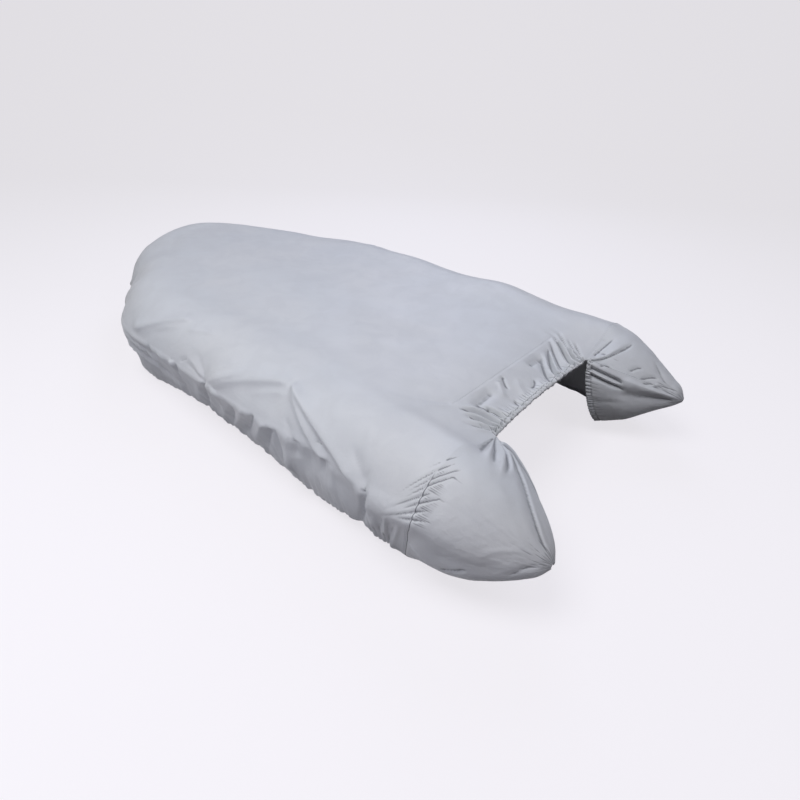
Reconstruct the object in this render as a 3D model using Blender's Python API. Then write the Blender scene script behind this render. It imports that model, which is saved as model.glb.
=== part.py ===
"""Fitted cover for a small inflatable tender: four sewn pieces of coated cloth.

Datum while the pieces are shaped: x runs forward from the seam at the stern, y to port,
z up from the axis of the two buoyancy tubes.  "Station" is the way along the tube axis, in
metres, from the port stern seam round the bow to the starboard stern seam.  "Girth" is the
way round the cloth from the crest of the tube: positive down the outside to the hem,
negative over the deck to the centreline.
"""
from collections import namedtuple

import bpy
import numpy as np

# ---- Driving sizes (metres, degrees) ---------------------------------------------------
TUBE_RADIUS = 0.210          # outside of the cloth on a tube
TUBE_Y = 0.537               # tube axis from the centreline
SHOULDER_X = 1.604           # where the tubes turn in to the bow
SHOULDER_BEND = 0.35         # plan radius of that turn
BOW_X = 2.279                # tube axis at the stem
BOW_Y = 0.154                # half of the blunt front
BOW_BEND = 0.259             # plan radius of its corners
BOW_RISE = 0.011             # the bow stands this much higher than the stern
BOW_SWELL = 0.011            # and is this much rounder
RISE_X = 0.80                # both begin here

SPINE_END = 2.149            # forward end of the deck's middle line
SPINE_FAN_X = 0.60           # forward of here the deck's cross lines fan out to the bow
PLAN_STEP = 0.004            # spacing of the points on the tube axis in plan
MORE_STATIONS = 0.10         # the closer stations of the bow start this far before the shoulder
CREST_ROUND = 0.16           # share of the deck's half width over which it leaves the crest
FALL_STERN = 0.50            # share of it over which the deck falls, at the flap
FALL_CHANGE = 0.45           # and by this far forward it falls over all of it

KNUCKLE_OUT = 0.206          # fold line over the rubbing strake, from the tube axis
KNUCKLE_UP = 0.050
KNUCKLE_ROUND = 7.0          # half the angle over which that fold line is rounded
LEAST_LEAN = 0.3             # least cosine from the straight side's face: it stays clear of 0
HEM_ROUND = 0.016            # radius at which the hem turns inboard
HEM_LIP = 0.042              # cloth from the start of that turn to the cut edge
HEM_LIP_RISE = 8.0           # the lip climbs inboard by this angle

FLAP_SEAM_X = 0.163          # seam between the deck and the flap over the transom
FLAP_SPAN = 0.365            # share of the way from crest to centreline where it begins
INNER_HEM_ANGLE = 137.0      # inboard hem of a cone, from the crest
INNER_EDGE_SLANT = 0.085     # that edge runs this far aft as it goes down
CORNER_EASE = 0.35           # share of that edge over which it comes back to the tube
RING_FADE = 0.75             # share of a cone over which its front ring's shape dies out
FOLD_START = 0.10            # and over which its folds begin

CLOTH = 0.002
SEAM_GAP = 0.0003
TINY = 1e-9                  # keeps a direction where two stations meet at one point
ORIGIN = (1.00, 0.0, 0.188)  # under the middle of the top: the frame's origin

SILVER_GREY = (0.52, 0.54, 0.57, 1.0)
COATED_ROUGHNESS = 0.55

# ---- Tables -----------------------------------------------------------------------------
# The hem by station, port stern, bow, starboard stern: depth under the tube axis, and how
# far outboard of it.
Hem = namedtuple("Hem", "station drop out")
HEMS = (
    Hem(0.00, 0.199, 0.123), Hem(0.12, 0.190, 0.132), Hem(0.22, 0.176, 0.143),
    Hem(0.30, 0.164, 0.150), Hem(0.40, 0.172, 0.152), Hem(0.50, 0.164, 0.154),
    Hem(0.58, 0.164, 0.150), Hem(0.68, 0.174, 0.137), Hem(0.80, 0.183, 0.124),
    Hem(1.00, 0.175, 0.124), Hem(1.17, 0.170, 0.125), Hem(1.38, 0.190, 0.122),
    Hem(1.52, 0.196, 0.136), Hem(1.68, 0.190, 0.188), Hem(1.95, 0.186, 0.182),
    Hem(2.20, 0.178, 0.135), Hem(2.50, 0.178, 0.123), Hem(3.10, 0.186, 0.130),
    Hem(3.70, 0.176, 0.123), Hem(4.30, 0.190, 0.126), Hem(4.75, 0.182, 0.123),
    Hem(5.00, 0.194, 0.123),
)

# How far the middle of the deck lies under the crest of the tubes.
Sag = namedtuple("Sag", "station depth")
SAGS = (Sag(0.0, 0.082), Sag(0.163, 0.042), Sag(0.5, 0.024), Sag(1.0, 0.018),
        Sag(1.6, 0.014), Sag(2.0, 0.008), Sag(2.3, 0.003), Sag(2.6, 0.001))

# Soft rises and hollows of the slack deck: middle, half length, half width, turn, height.
Swell = namedtuple("Swell", "x y length width turn height")
SWELLS = (
    Swell(0.62, 0.00, 0.30, 0.16, 20.0, -0.008),
    Swell(1.15, 0.16, 0.34, 0.12, -8.0, 0.007),
    Swell(1.45, -0.20, 0.30, 0.14, 12.0, -0.007),
    Swell(1.85, 0.10, 0.22, 0.12, 30.0, 0.006),
)

# Bulges of the tube's cloth: middle (station, girth), half sizes, height.
Bulge = namedtuple("Bulge", "station girth length width height")
BULGES = (
    Bulge(0.37, 0.265, 0.13, 0.055, -0.017),
    Bulge(0.62, 0.19, 0.20, 0.055, -0.010),      # hollow under the port peak
    Bulge(1.25, 0.16, 0.22, 0.080, 0.007),
    Bulge(1.64, 0.34, 0.10, 0.090, 0.020),
    Bulge(1.92, 0.17, 0.12, 0.080, -0.014),
    Bulge(2.19, 0.04, 0.15, 0.140, -0.028),
    Bulge(2.54, 0.07, 0.14, 0.110, 0.014),
    Bulge(3.30, 0.04, 0.20, 0.100, -0.019),
    Bulge(3.90, 0.06, 0.18, 0.100, 0.012),
    Bulge(4.45, 0.03, 0.17, 0.130, 0.024),
    Bulge(4.75, 0.05, 0.08, 0.090, -0.006),
)

RIDGE_START = 0.55           # a fold starts this share of its full width
RIDGE_END = 0.28             # and fades over this share of its length at each end
# Creases: from (station, girth) to (station, girth), half width up and down the cloth,
# height (a trough is negative).
Crease = namedtuple("Crease", "s0 g0 s1 g1 up down height")
CREASES = (
    Crease(0.60, 0.105, 0.24, 0.255, 0.050, 0.030, 0.009),    # port peak, towards the stern
    Crease(0.60, 0.105, 0.98, 0.262, 0.050, 0.030, 0.009),    # and towards the bow
    Crease(0.58, 0.130, 0.36, 0.270, 0.022, 0.022, 0.006),
    Crease(0.545, 0.220, 0.545, 0.500, 0.030, 0.030, 0.013),  # strut under the peak
    Crease(0.175, 0.270, 0.210, 0.510, 0.022, 0.022, -0.014),
    Crease(0.190, 0.262, 0.285, 0.150, 0.022, 0.022, -0.005),
    Crease(0.620, 0.300, 0.800, 0.520, 0.026, 0.026, -0.011),
    Crease(0.740, 0.280, 0.960, 0.520, 0.026, 0.026, -0.011),
    Crease(1.000, 0.240, 1.130, 0.520, 0.028, 0.028, -0.013),
    Crease(1.250, 0.085, 1.540, 0.245, 0.028, 0.028, -0.008),
    Crease(1.300, 0.290, 1.480, 0.500, 0.030, 0.030, 0.008),
    Crease(0.010, 0.150, 0.085, 0.270, 0.022, 0.022, -0.005),
    Crease(1.750, 0.120, 1.900, 0.430, 0.035, 0.035, 0.010),
    Crease(2.150, 0.200, 2.260, 0.500, 0.035, 0.035, -0.012),
    Crease(2.680, 0.220, 2.620, 0.500, 0.035, 0.035, -0.012),
    Crease(3.120, 0.140, 3.020, 0.450, 0.035, 0.035, 0.010),
    Crease(3.560, 0.110, 3.260, 0.260, 0.045, 0.030, 0.008),
    Crease(3.560, 0.110, 3.900, 0.265, 0.045, 0.030, 0.008),
    Crease(3.600, 0.250, 3.520, 0.500, 0.030, 0.030, -0.011),
    Crease(4.080, 0.270, 4.020, 0.500, 0.030, 0.030, -0.011),
    Crease(4.400, 0.130, 4.180, 0.270, 0.040, 0.028, 0.007),
    Crease(4.560, 0.260, 4.600, 0.500, 0.028, 0.028, 0.010),
    Crease(4.860, 0.250, 4.820, 0.500, 0.024, 0.024, -0.011),
)

# Cones over the ends of the tubes, from the seam to the tip: share of the way, distance aft,
# radius, axis off the tube's axis outboard and up, slack that hangs outboard below, slack
# on the inboard side, slack under that.
Cone = namedtuple("Cone", "share aft radius out up hang inboard under")
PORT_CONE = (
    Cone(0.000, 0.000, 0.210, 0.000, 0.000, 0.000, 0.000, 0.000),
    Cone(0.195, 0.075, 0.194, 0.001, 0.001, 0.012, 0.008, 0.000),
    Cone(0.408, 0.150, 0.156, 0.004, 0.005, 0.020, 0.018, 0.000),
    Cone(0.637, 0.225, 0.106, 0.008, 0.008, 0.021, 0.022, 0.000),
    Cone(0.832, 0.285, 0.060, 0.010, 0.006, 0.018, 0.016, 0.000),
    Cone(0.945, 0.318, 0.030, 0.011, 0.002, 0.012, 0.006, 0.000),
    Cone(1.000, 0.332, 0.010, 0.011, 0.000, 0.004, 0.000, 0.000),
)
STARBOARD_CONE = (
    Cone(0.000, 0.000, 0.210, 0.000, 0.000, 0.000, 0.000, 0.000),
    Cone(0.195, 0.075, 0.191, 0.001, 0.001, 0.003, -0.012, -0.012),
    Cone(0.408, 0.150, 0.150, 0.004, 0.004, 0.004, -0.003, 0.011),
    Cone(0.637, 0.225, 0.102, 0.008, 0.006, 0.004, 0.002, 0.023),
    Cone(0.832, 0.286, 0.061, 0.010, 0.008, 0.004, 0.002, 0.013),
    Cone(0.945, 0.326, 0.035, 0.011, 0.005, 0.002, 0.000, 0.000),
    Cone(1.000, 0.345, 0.008, 0.011, 0.001, 0.000, 0.000, 0.000),
)
SWELL_FADE = 0.35            # swells die out over this share of the side
SWELL_START = 0.25           # and begin over this length forward of the flap
HANG_ANGLE = 126.0           # where round the cone that slack hangs
HANG_SPREAD = 40.0
INBOARD_ANGLE = -75.0
INBOARD_SPREAD = 35.0
UNDER_ANGLE = -128.0
UNDER_SPREAD = 32.0

# Folds of the cones: from (share aft, angle) to (share aft, angle), half width as an
# angle, height.  Angles run from the crest, outboard positive.
Fold = namedtuple("Fold", "k0 angle0 k1 angle1 width height")
PORT_FOLDS = (
    Fold(0.05, -62.0, 0.75, -84.0, 9.0, 0.008),
    Fold(0.05, -48.0, 0.60, -62.0, 7.0, -0.006),
    Fold(0.30, 128.0, 0.95, 95.0, 12.0, -0.006),
)
STARBOARD_FOLDS = (
    Fold(0.02, -62.0, 1.05, -84.0, 10.0, 0.010),
    Fold(0.02, -84.0, 0.95, -112.0, 16.0, -0.012),
    Fold(0.02, -40.0, 0.45, -22.0, 6.0, -0.005),
)

# Pleats of the flap, from its seam to its gathered edge: place across the half span,
# half width, how far it leans back towards the seam, height.
Pleat = namedtuple("Pleat", "across width lean height")
PLEATS = (
    Pleat(-0.86, 0.045, 0.05, -0.007), Pleat(-0.72, 0.040, 0.04, 0.006),
    Pleat(-0.56, 0.050, 0.06, -0.006), Pleat(-0.30, 0.070, 0.05, 0.005),
    Pleat(0.05, 0.080, 0.00, -0.007), Pleat(0.42, 0.070, -0.06, -0.006),
    Pleat(0.70, 0.050, -0.10, 0.005), Pleat(0.88, 0.035, -0.12, -0.007),
)
FLAP_BELLY = 0.006           # and its general sag
EDGE_DRAW = 0.014            # the elastic draws the middle of the free edge forward
FLAP_SIDE = 0.10             # both die out over this share of the half span
PLEAT_GROW = 0.5             # pleats reach full height this share of the way to the free edge

# ---- How finely each piece is cut up ----------------------------------------------------
STATIONS_FLAP = 3            # beside the flap, from a stern seam
STATIONS_SIDE = 31           # from there to the shoulder
STATIONS_BOW = 13            # from the shoulder to the stem
DECK_ROWS = (4, 4)           # centreline to flap corner, flap corner to crest
SIDE_ROWS = 16
LIP_ROWS = 2
CONE_RINGS = 15
CONE_INNER_ROWS = 8
FLAP_ROWS = 6
FLAP_COLUMNS = 28


def smoothstep(x):
    """Rises smoothly from 0 to 1 as x does."""
    x = np.clip(x, 0.0, 1.0)
    return x * x * (3.0 - 2.0 * x)


def read_table(rows, column, x):
    """A smooth curve through one column of a table, whose first column is the place."""
    xs = np.array([row[0] for row in rows], float)
    ys = np.array([getattr(row, column) for row in rows], float)
    slope = np.gradient(ys, xs)
    i = np.clip(np.searchsorted(xs, x) - 1, 0, len(xs) - 2)
    span = xs[i + 1] - xs[i]
    t = np.clip((x - xs[i]) / span, 0.0, 1.0)
    return ((2 * t**3 - 3 * t**2 + 1) * ys[i] + (t**3 - 2 * t**2 + t) * span * slope[i]
            + (3 * t**2 - 2 * t**3) * ys[i + 1] + (t**3 - t**2) * span * slope[i + 1])


class PlanPath:
    """The axis of the port tube in plan: straight runs joined by arcs, stern to stem."""

    def __init__(self, step=PLAN_STEP):
        corners = np.array([(0.0, TUBE_Y), (SHOULDER_X, TUBE_Y), (BOW_X, BOW_Y), (BOW_X, 0.0)])
        points = [corners[0]]
        for k, bend in ((1, SHOULDER_BEND), (2, BOW_BEND)):
            back = corners[k - 1] - corners[k]
            ahead = corners[k + 1] - corners[k]
            back, ahead = back / np.linalg.norm(back), ahead / np.linalg.norm(ahead)
            turn = np.pi - np.arccos(back @ ahead)
            start = corners[k] + back * bend * np.tan(turn / 2)
            middle = (back + ahead) / np.linalg.norm(back + ahead)
            centre = corners[k] + middle * bend / np.cos(turn / 2)
            self.run_to(points, start, step)
            first = np.arctan2(start[1] - centre[1], start[0] - centre[0])
            for angle in first - np.linspace(0.0, turn, int(bend * turn / step) + 2)[1:]:
                points.append(centre + bend * np.array([np.cos(angle), np.sin(angle)]))
        self.run_to(points, corners[3], step)
        self.points = np.array(points)
        lengths = np.linalg.norm(np.diff(self.points, axis=0), axis=1)
        self.station = np.concatenate([[0.0], np.cumsum(lengths)])
        self.end = self.station[-1]
        ahead = np.gradient(self.points, axis=0)
        ahead /= np.linalg.norm(ahead, axis=1)[:, None]
        self.outward = np.stack([-ahead[:, 1], ahead[:, 0]], axis=-1)

    @staticmethod
    def run_to(points, goal, step):
        start = points[-1]
        count = max(2, int(np.linalg.norm(goal - start) / step))
        points.extend(start + (goal - start) * i / count for i in range(1, count + 1))

    def at(self, station):
        """Way from the nearer stern seam, side, x, y, and the outward normal in plan."""
        way = np.minimum(station, 2 * self.end - station)
        side = np.where(station <= self.end, 1.0, -1.0)
        x, y = (np.interp(way, self.station, self.points[:, i]) for i in (0, 1))
        nx, ny = (np.interp(way, self.station, self.outward[:, i]) for i in (0, 1))
        size = np.hypot(nx, ny)
        return way, side, x, y, nx / size, ny / size


PATH = PlanPath()


def bowward(station):
    """How far a station is along the boat's rise to the bow, from 0 to 1."""
    x = PATH.at(station)[2]
    return np.clip((x - RISE_X) / (BOW_X - RISE_X), 0.0, 1.0) ** 2


def tube_section(station, q):
    """Outward and upward offsets from the tube axis; q is 0 at the crest, 1 at the hem."""
    drop, hem_out = read_table(HEMS, "drop", station), read_table(HEMS, "out", station)
    knuckle_angle = np.arctan2(KNUCKLE_OUT, KNUCKLE_UP)
    hem_angle = np.arctan2(hem_out, -drop)
    angle = np.clip(q, 0.0, 1.0) * hem_angle
    # The straight run from knuckle to hem, as a line in polar form.
    run_out, run_up = hem_out - KNUCKLE_OUT, -drop - KNUCKLE_UP
    run = np.hypot(run_out, run_up)
    face_out, face_up = -run_up / run, run_out / run
    reach = KNUCKLE_OUT * face_out + KNUCKLE_UP * face_up
    lean = np.maximum(np.cos(angle - np.arctan2(face_out, face_up)), LEAST_LEAN)
    round_by = np.radians(KNUCKLE_ROUND)
    blend = smoothstep((angle - knuckle_angle + round_by) / (2 * round_by))
    radius = TUBE_RADIUS + BOW_SWELL * bowward(station)
    radius = radius * (1 - blend) + reach / lean * blend
    out, up = radius * np.sin(angle), radius * np.cos(angle)
    # Past the hem the cloth turns inboard on an arc and runs on as a short lip.
    heading = np.arctan2(run_up, run_out) % (2 * np.pi)
    way = np.clip(q - 1.0, 0.0, 1.0) * HEM_LIP
    last = np.pi - np.radians(HEM_LIP_RISE)
    now = np.maximum(heading - way / HEM_ROUND, last)
    straight = np.maximum(way - HEM_ROUND * (heading - last), 0.0)
    out = out + HEM_ROUND * (np.sin(heading) - np.sin(now)) + straight * np.cos(last)
    up = up + HEM_ROUND * (np.cos(now) - np.cos(heading)) + straight * np.sin(last)
    return out, up


def smooth_form(station, q):
    """The cover without its folds: q is -1 on the centreline, 0 crest, 1 hem, 2 cut edge."""
    way, side, x, y, nx, ny = PATH.at(station)
    lift = BOW_RISE * bowward(station)
    out, up = tube_section(station, np.maximum(q, 0.0))
    share = np.clip(-q, 0.0, 1.0)
    fan = np.clip((way - SPINE_FAN_X) / (PATH.end - SPINE_FAN_X), 0.0, 1.0) ** 2
    spine_x = way - (PATH.end - SPINE_END) * fan
    fall_share = FALL_STERN + (1.0 - FALL_STERN) * smoothstep((way - FLAP_SEAM_X) / FALL_CHANGE)
    fall = 1.0 - (1.0 - np.clip(share / fall_share, 0.0, 1.0)) ** 2
    fall = fall * np.sqrt(smoothstep(share / CREST_ROUND))
    points = np.stack([
        np.where(q > 0, x + nx * out, x + (spine_x - x) * share),
        np.where(q > 0, y + ny * out, y * (1.0 - share)) * side,
        up - read_table(SAGS, "depth", way) * fall + lift], axis=-1)
    return points


def normals_of(points):
    across = np.cross(np.gradient(points, axis=0), np.gradient(points, axis=1))
    across[..., 2] += TINY                   # the middle of the deck's forward end has none
    return across / np.linalg.norm(across, axis=-1, keepdims=True)


def ridge(x0, y0, x1, y1, up, down, x, y):
    """1 along the middle of a fold from one point to another, fading to 0 around it."""
    length = np.hypot(x1 - x0, y1 - y0)
    ax, ay = (x1 - x0) / length, (y1 - y0) / length
    along = ((x - x0) * ax + (y - y0) * ay) / length
    off = -(x - x0) * ay + (y - y0) * ax
    if ax < 0:
        off = -off
    width = np.where(off < 0, up, down) * (RIDGE_START + (1.0 - RIDGE_START)
                                           * np.clip(along, 0.0, 1.0))
    ends = smoothstep(along / RIDGE_END + 0.35) * smoothstep((1.0 - along) / RIDGE_END + 0.25)
    return np.exp(-(off / width) ** 2) * ends


def fold_height(station, girth):
    """Height of the bulges and creases over the smooth form of the tubes."""
    height = np.zeros_like(station)
    for b in BULGES:
        height += b.height * np.exp(-((station - b.station) / b.length) ** 2
                                    - ((girth - b.girth) / b.width) ** 2)
    for c in CREASES:
        height += c.height * ridge(c.s0, c.g0, c.s1, c.g1, c.up, c.down, station, girth)
    return height


def deck_height(x, y):
    """Height of the slack deck's soft rises and hollows."""
    height = np.zeros_like(x)
    for s in SWELLS:
        turn = np.radians(s.turn)
        along = (x - s.x) * np.cos(turn) + (y - s.y) * np.sin(turn)
        off = (y - s.y) * np.cos(turn) - (x - s.x) * np.sin(turn)
        height += s.height * np.exp(-(along / s.length) ** 2 - (off / s.width) ** 2)
    return height


# A grid of points on the cloth's outside, with the way in through its thickness.
Sheet = namedtuple("Sheet", "points inward")


def flatten(inward, axes):
    """Turns the way in so that it has no part along some axes, so edges stay in plane."""
    inward = inward.copy()
    for axis in axes:
        inward[..., axis] = 0.0
    return inward / np.linalg.norm(inward, axis=-1, keepdims=True)


def main_grid():
    """Deck, sides and bow as one grid; also the flap seam's station and the corner's row."""
    half_gap = SEAM_GAP / 2
    side_run = SHOULDER_X - MORE_STATIONS
    aft = np.linspace(half_gap, FLAP_SEAM_X + half_gap, STATIONS_FLAP + 1)[:-1]
    mid = np.linspace(FLAP_SEAM_X + half_gap, side_run, STATIONS_SIDE)
    bow = np.linspace(side_run, PATH.end, STATIONS_BOW + 1)[1:]
    half = np.concatenate([aft, mid, bow])
    stations = np.concatenate([half, 2 * PATH.end - half[-2::-1]])
    rows = np.concatenate([
        np.linspace(-1.0, -FLAP_SPAN, DECK_ROWS[0] + 1)[:-1],
        np.linspace(-FLAP_SPAN, 0.0, DECK_ROWS[1] + 1)[:-1],
        np.linspace(0.0, 1.0, SIDE_ROWS + 1),
        np.linspace(1.0, 2.0, LIP_ROWS + 1)[1:]])
    s, q = np.meshgrid(stations, rows, indexing="ij")
    points = smooth_form(s, q)
    crest = DECK_ROWS[0] + DECK_ROWS[1]
    steps = np.linalg.norm(np.diff(points, axis=1), axis=-1)
    girth = np.concatenate([np.zeros((len(stations), 1)), np.cumsum(steps, axis=1)], axis=1)
    girth -= girth[:, crest:crest + 1]
    normal = normals_of(points)
    hold = smoothstep((q + FLAP_SPAN) / FLAP_SPAN)           # folds die out over the deck
    points = points + normal * (fold_height(s, girth) * hold)[..., None]
    on_deck = 1.0 - smoothstep(q / SWELL_FADE)
    away = smoothstep((points[..., 0] - FLAP_SEAM_X) / SWELL_START)
    points[..., 2] += deck_height(points[..., 0], points[..., 1]) * on_deck * away
    inward = -normals_of(points)
    inward[:, 0] = (0.0, 0.0, -1.0)
    inward[[0, -1]] = flatten(inward[[0, -1]], [0])
    flap_seam, corner = STATIONS_FLAP, DECK_ROWS[0]
    for station in (flap_seam, -1 - flap_seam):
        inward[station] = flatten(inward[station], [0])
    for part in (slice(0, flap_seam + 1), slice(-1 - flap_seam, None)):
        inward[part, corner] = (0.0, 0.0, -1.0)
    return Sheet(points, inward), flap_seam, corner


def build_object(name, sheet, quads, spine=False):
    """Closes a grid into one solid: outside, inside and a rim along the free edges."""
    rows, columns = sheet.points.shape[:2]
    index = np.arange(rows * columns).reshape(rows, columns)
    if spine:
        index[:, 0] = np.minimum(index[:, 0], index[::-1, 0])
    faces = [(index[i, j], index[i + 1, j], index[i + 1, j + 1], index[i, j + 1])
             for i, j in quads]
    used = sorted({v for face in faces for v in face})
    renumber = {v: n for n, v in enumerate(used)}
    faces = [tuple(renumber[v] for v in face) for face in faces]
    count = len(used)
    outside = sheet.points.reshape(-1, 3)[used]
    inside = outside + CLOTH * sheet.inward.reshape(-1, 3)[used]
    edges = {(face[k], face[(k + 1) % 4]) for face in faces for k in range(4)}
    rim = [(b, a, a + count, b + count) for a, b in sorted(edges) if (b, a) not in edges]
    lining = [tuple(v + count for v in reversed(face)) for face in faces]
    mesh = bpy.data.meshes.new(name)
    vertices = np.concatenate([outside, inside])
    mesh.from_pydata(vertices.tolist(), [], [tuple(map(int, f)) for f in faces + lining + rim])
    mesh.shade_smooth()
    mesh.materials.append(coated_cloth(name))
    cover_piece = bpy.data.objects.new(name, mesh)
    cover_piece.location = [-value for value in ORIGIN]
    bpy.context.scene.collection.objects.link(cover_piece)
    return cover_piece


def coated_cloth(name):
    material = bpy.data.materials.new(name)
    material.use_nodes = True
    shader = material.node_tree.nodes["Principled BSDF"]
    shader.inputs["Base Color"].default_value = SILVER_GREY
    shader.inputs["Roughness"].default_value = COATED_ROUGHNESS
    shader.inputs["Metallic"].default_value = 0.0
    return material


def all_quads(rows, columns):
    return [(i, j) for i in range(rows - 1) for j in range(columns - 1)]


def cone_sheet(side, ring, table, folds):
    """The cone behind one tube, from the main panel's stern edge as its front ring."""
    out = np.abs(ring[:, 1]) - TUBE_Y
    up = ring[:, 2]
    corner_angle, corner_radius = np.arctan2(out[0], up[0]), np.hypot(out[0], up[0])
    down = np.linspace(1.0, 0.0, CONE_INNER_ROWS + 1)[:-1]
    angle = corner_angle + (-np.radians(INNER_HEM_ANGLE) - corner_angle) * down
    radius = TUBE_RADIUS + (corner_radius - TUBE_RADIUS) * np.exp(-(down / CORNER_EASE) ** 2)
    angle = np.concatenate([angle, np.arctan2(out, up)])
    angle = np.where(angle < -np.radians(INNER_HEM_ANGLE) - 0.01, angle + 2 * np.pi, angle)
    radius = np.concatenate([radius, np.hypot(out, up)])
    down_edge = np.concatenate([down, np.zeros(len(out))])
    share, angle = np.meshgrid(np.linspace(0.0, 1.0, CONE_RINGS + 1), angle, indexing="ij")
    aft, size = read_table(table, "aft", share), read_table(table, "radius", share)
    degrees = np.degrees(angle)
    shape = TUBE_RADIUS + (radius - TUBE_RADIUS) * (1.0 - smoothstep(share / RING_FADE))
    shape = shape * size / TUBE_RADIUS
    shape += read_table(table, "hang", share) * np.exp(
        -((degrees - HANG_ANGLE) / HANG_SPREAD) ** 2)
    shape += read_table(table, "inboard", share) * np.exp(
        -((degrees - INBOARD_ANGLE) / INBOARD_SPREAD) ** 2)
    shape += read_table(table, "under", share) * np.exp(
        -((degrees - UNDER_ANGLE) / UNDER_SPREAD) ** 2)
    around = TUBE_RADIUS / 2                # folds are laid out on half the cone's own girth
    for f in folds:
        shape += f.height * ridge(f.k0, np.radians(f.angle0) * around, f.k1,
                                  np.radians(f.angle1) * around, np.radians(f.width) * around,
                                  np.radians(f.width) * around, share, angle * around
                                  ) * smoothstep(share / FOLD_START)
    slant = INNER_EDGE_SLANT * down_edge * (1.0 - smoothstep(share / RING_FADE))
    x = -SEAM_GAP / 2 - aft - slant
    y = TUBE_Y + read_table(table, "out", share) + shape * np.sin(angle)
    z = read_table(table, "up", share) + shape * np.cos(angle)
    points = np.stack([x, side * y, z], axis=-1)
    inward = normals_of(points) * side
    inward[0] = flatten(inward[0], [0])
    if side > 0:
        return Sheet(points[::-1], inward[::-1])
    return Sheet(points, inward)


def flap_sheet(seam_port, seam_starboard, side_port, side_starboard):
    """The strip over the transom: a patch between four edges, pleated to its free edge."""
    a, b = np.meshgrid(np.linspace(0.0, 1.0, FLAP_ROWS + 1),
                       np.linspace(1.0, -1.0, FLAP_COLUMNS + 1), indexing="ij")
    m = (b + 1.0) / 2.0
    edge = np.concatenate([seam_starboard, seam_port[1:]])
    spread = np.linspace(-1.0, 1.0, len(edge))
    seam = np.stack([np.interp(b[0], spread, edge[:, i]) for i in range(3)], axis=-1)
    ways = np.linspace(0.0, 1.0, len(side_port))
    left, right = (np.stack([np.interp(a[:, 0], ways, line[::-1, i]) for i in range(3)], axis=-1)
                   for line in (side_starboard, side_port))
    am, mm = a[..., None], m[..., None]
    free = left[-1] * (1 - mm) + right[-1] * mm
    points = (seam[None] * (1 - am) + free * am + left[:, None] * (1 - mm) + right[:, None] * mm
              - (seam[-1] * (1 - mm) + seam[0] * mm) * (1 - am)
              - (left[-1] * (1 - mm) + right[-1] * mm) * am)
    inside = smoothstep((1.0 - np.abs(b)) / FLAP_SIDE)
    height = -FLAP_BELLY * np.sin(np.pi * a)
    for p in PLEATS:
        height = height + p.height * np.exp(
            -((b - p.across - p.lean * (1.0 - a)) / p.width) ** 2) * smoothstep(a / PLEAT_GROW)
    points[..., 2] += height * inside
    points[..., 0] += EDGE_DRAW * (1.0 - b**2) * a**2 - SEAM_GAP
    points[..., 1] *= 1.0 - SEAM_GAP / abs(points[-1, -1, 1])
    inward = -normals_of(points)
    inward[0] = flatten(inward[0], [0])
    inward[-1] = flatten(inward[-1], [0])
    inward[:, [0, -1]] = (0.0, 0.0, -1.0)
    return Sheet(points, inward)


def main():
    for old in list(bpy.data.objects):
        bpy.data.objects.remove(old)
    panel, seam, corner = main_grid()
    rows, columns = panel.points.shape[:2]
    quads = [(i, j) for i, j in all_quads(rows, columns)
             if j >= corner or seam <= i < rows - 1 - seam]
    build_object("main_panel", panel, quads, spine=True)
    for name, side, ring, table, folds in (
            ("cone_port", 1.0, panel.points[0, corner:], PORT_CONE, PORT_FOLDS),
            ("cone_starboard", -1.0, panel.points[-1, corner:], STARBOARD_CONE, STARBOARD_FOLDS)):
        cone = cone_sheet(side, ring, table, folds)
        build_object(name, cone, all_quads(*cone.points.shape[:2]))
    flap = flap_sheet(panel.points[seam, :corner + 1], panel.points[-1 - seam, :corner + 1][::-1],
                      panel.points[:seam + 1, corner], panel.points[rows - 1 - seam:, corner][::-1])
    build_object("transom_flap", flap, all_quads(*flap.points.shape[:2]))


main()
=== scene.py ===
"""Looks of the fitted tender cover: four sewn pieces of coated cloth with their folds,
seams, stitching and gathered edges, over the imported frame.

The cloth is shaped in the boat's own datum: x forward from the stern seam, y to port, z up
from the tube axis.  "Station" runs along the tube axis from the port stern seam round the
bow, "girth" round the cloth from the crest of the tube, positive down to the hem.
"""
from collections import namedtuple

import bmesh
import bpy
import numpy as np
from mathutils import Matrix, Vector


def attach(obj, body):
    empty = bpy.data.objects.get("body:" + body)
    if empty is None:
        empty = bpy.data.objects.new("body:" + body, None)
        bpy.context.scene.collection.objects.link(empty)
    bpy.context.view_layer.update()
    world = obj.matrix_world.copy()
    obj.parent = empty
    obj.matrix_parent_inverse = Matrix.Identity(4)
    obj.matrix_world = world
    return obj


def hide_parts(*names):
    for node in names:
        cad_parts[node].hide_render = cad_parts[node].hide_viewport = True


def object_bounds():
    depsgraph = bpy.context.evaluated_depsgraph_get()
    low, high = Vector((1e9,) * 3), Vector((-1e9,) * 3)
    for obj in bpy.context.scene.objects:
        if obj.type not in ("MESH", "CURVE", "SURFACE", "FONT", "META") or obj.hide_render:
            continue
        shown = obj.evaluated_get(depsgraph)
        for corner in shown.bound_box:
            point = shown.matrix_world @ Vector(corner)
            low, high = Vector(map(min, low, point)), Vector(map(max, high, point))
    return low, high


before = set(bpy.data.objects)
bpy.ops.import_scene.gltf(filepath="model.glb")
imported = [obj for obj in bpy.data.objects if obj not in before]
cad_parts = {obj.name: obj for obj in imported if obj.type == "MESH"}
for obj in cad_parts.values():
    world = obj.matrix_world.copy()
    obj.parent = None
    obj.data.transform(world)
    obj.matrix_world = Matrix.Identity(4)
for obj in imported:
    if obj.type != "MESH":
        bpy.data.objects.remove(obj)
cad_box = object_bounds()


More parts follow.
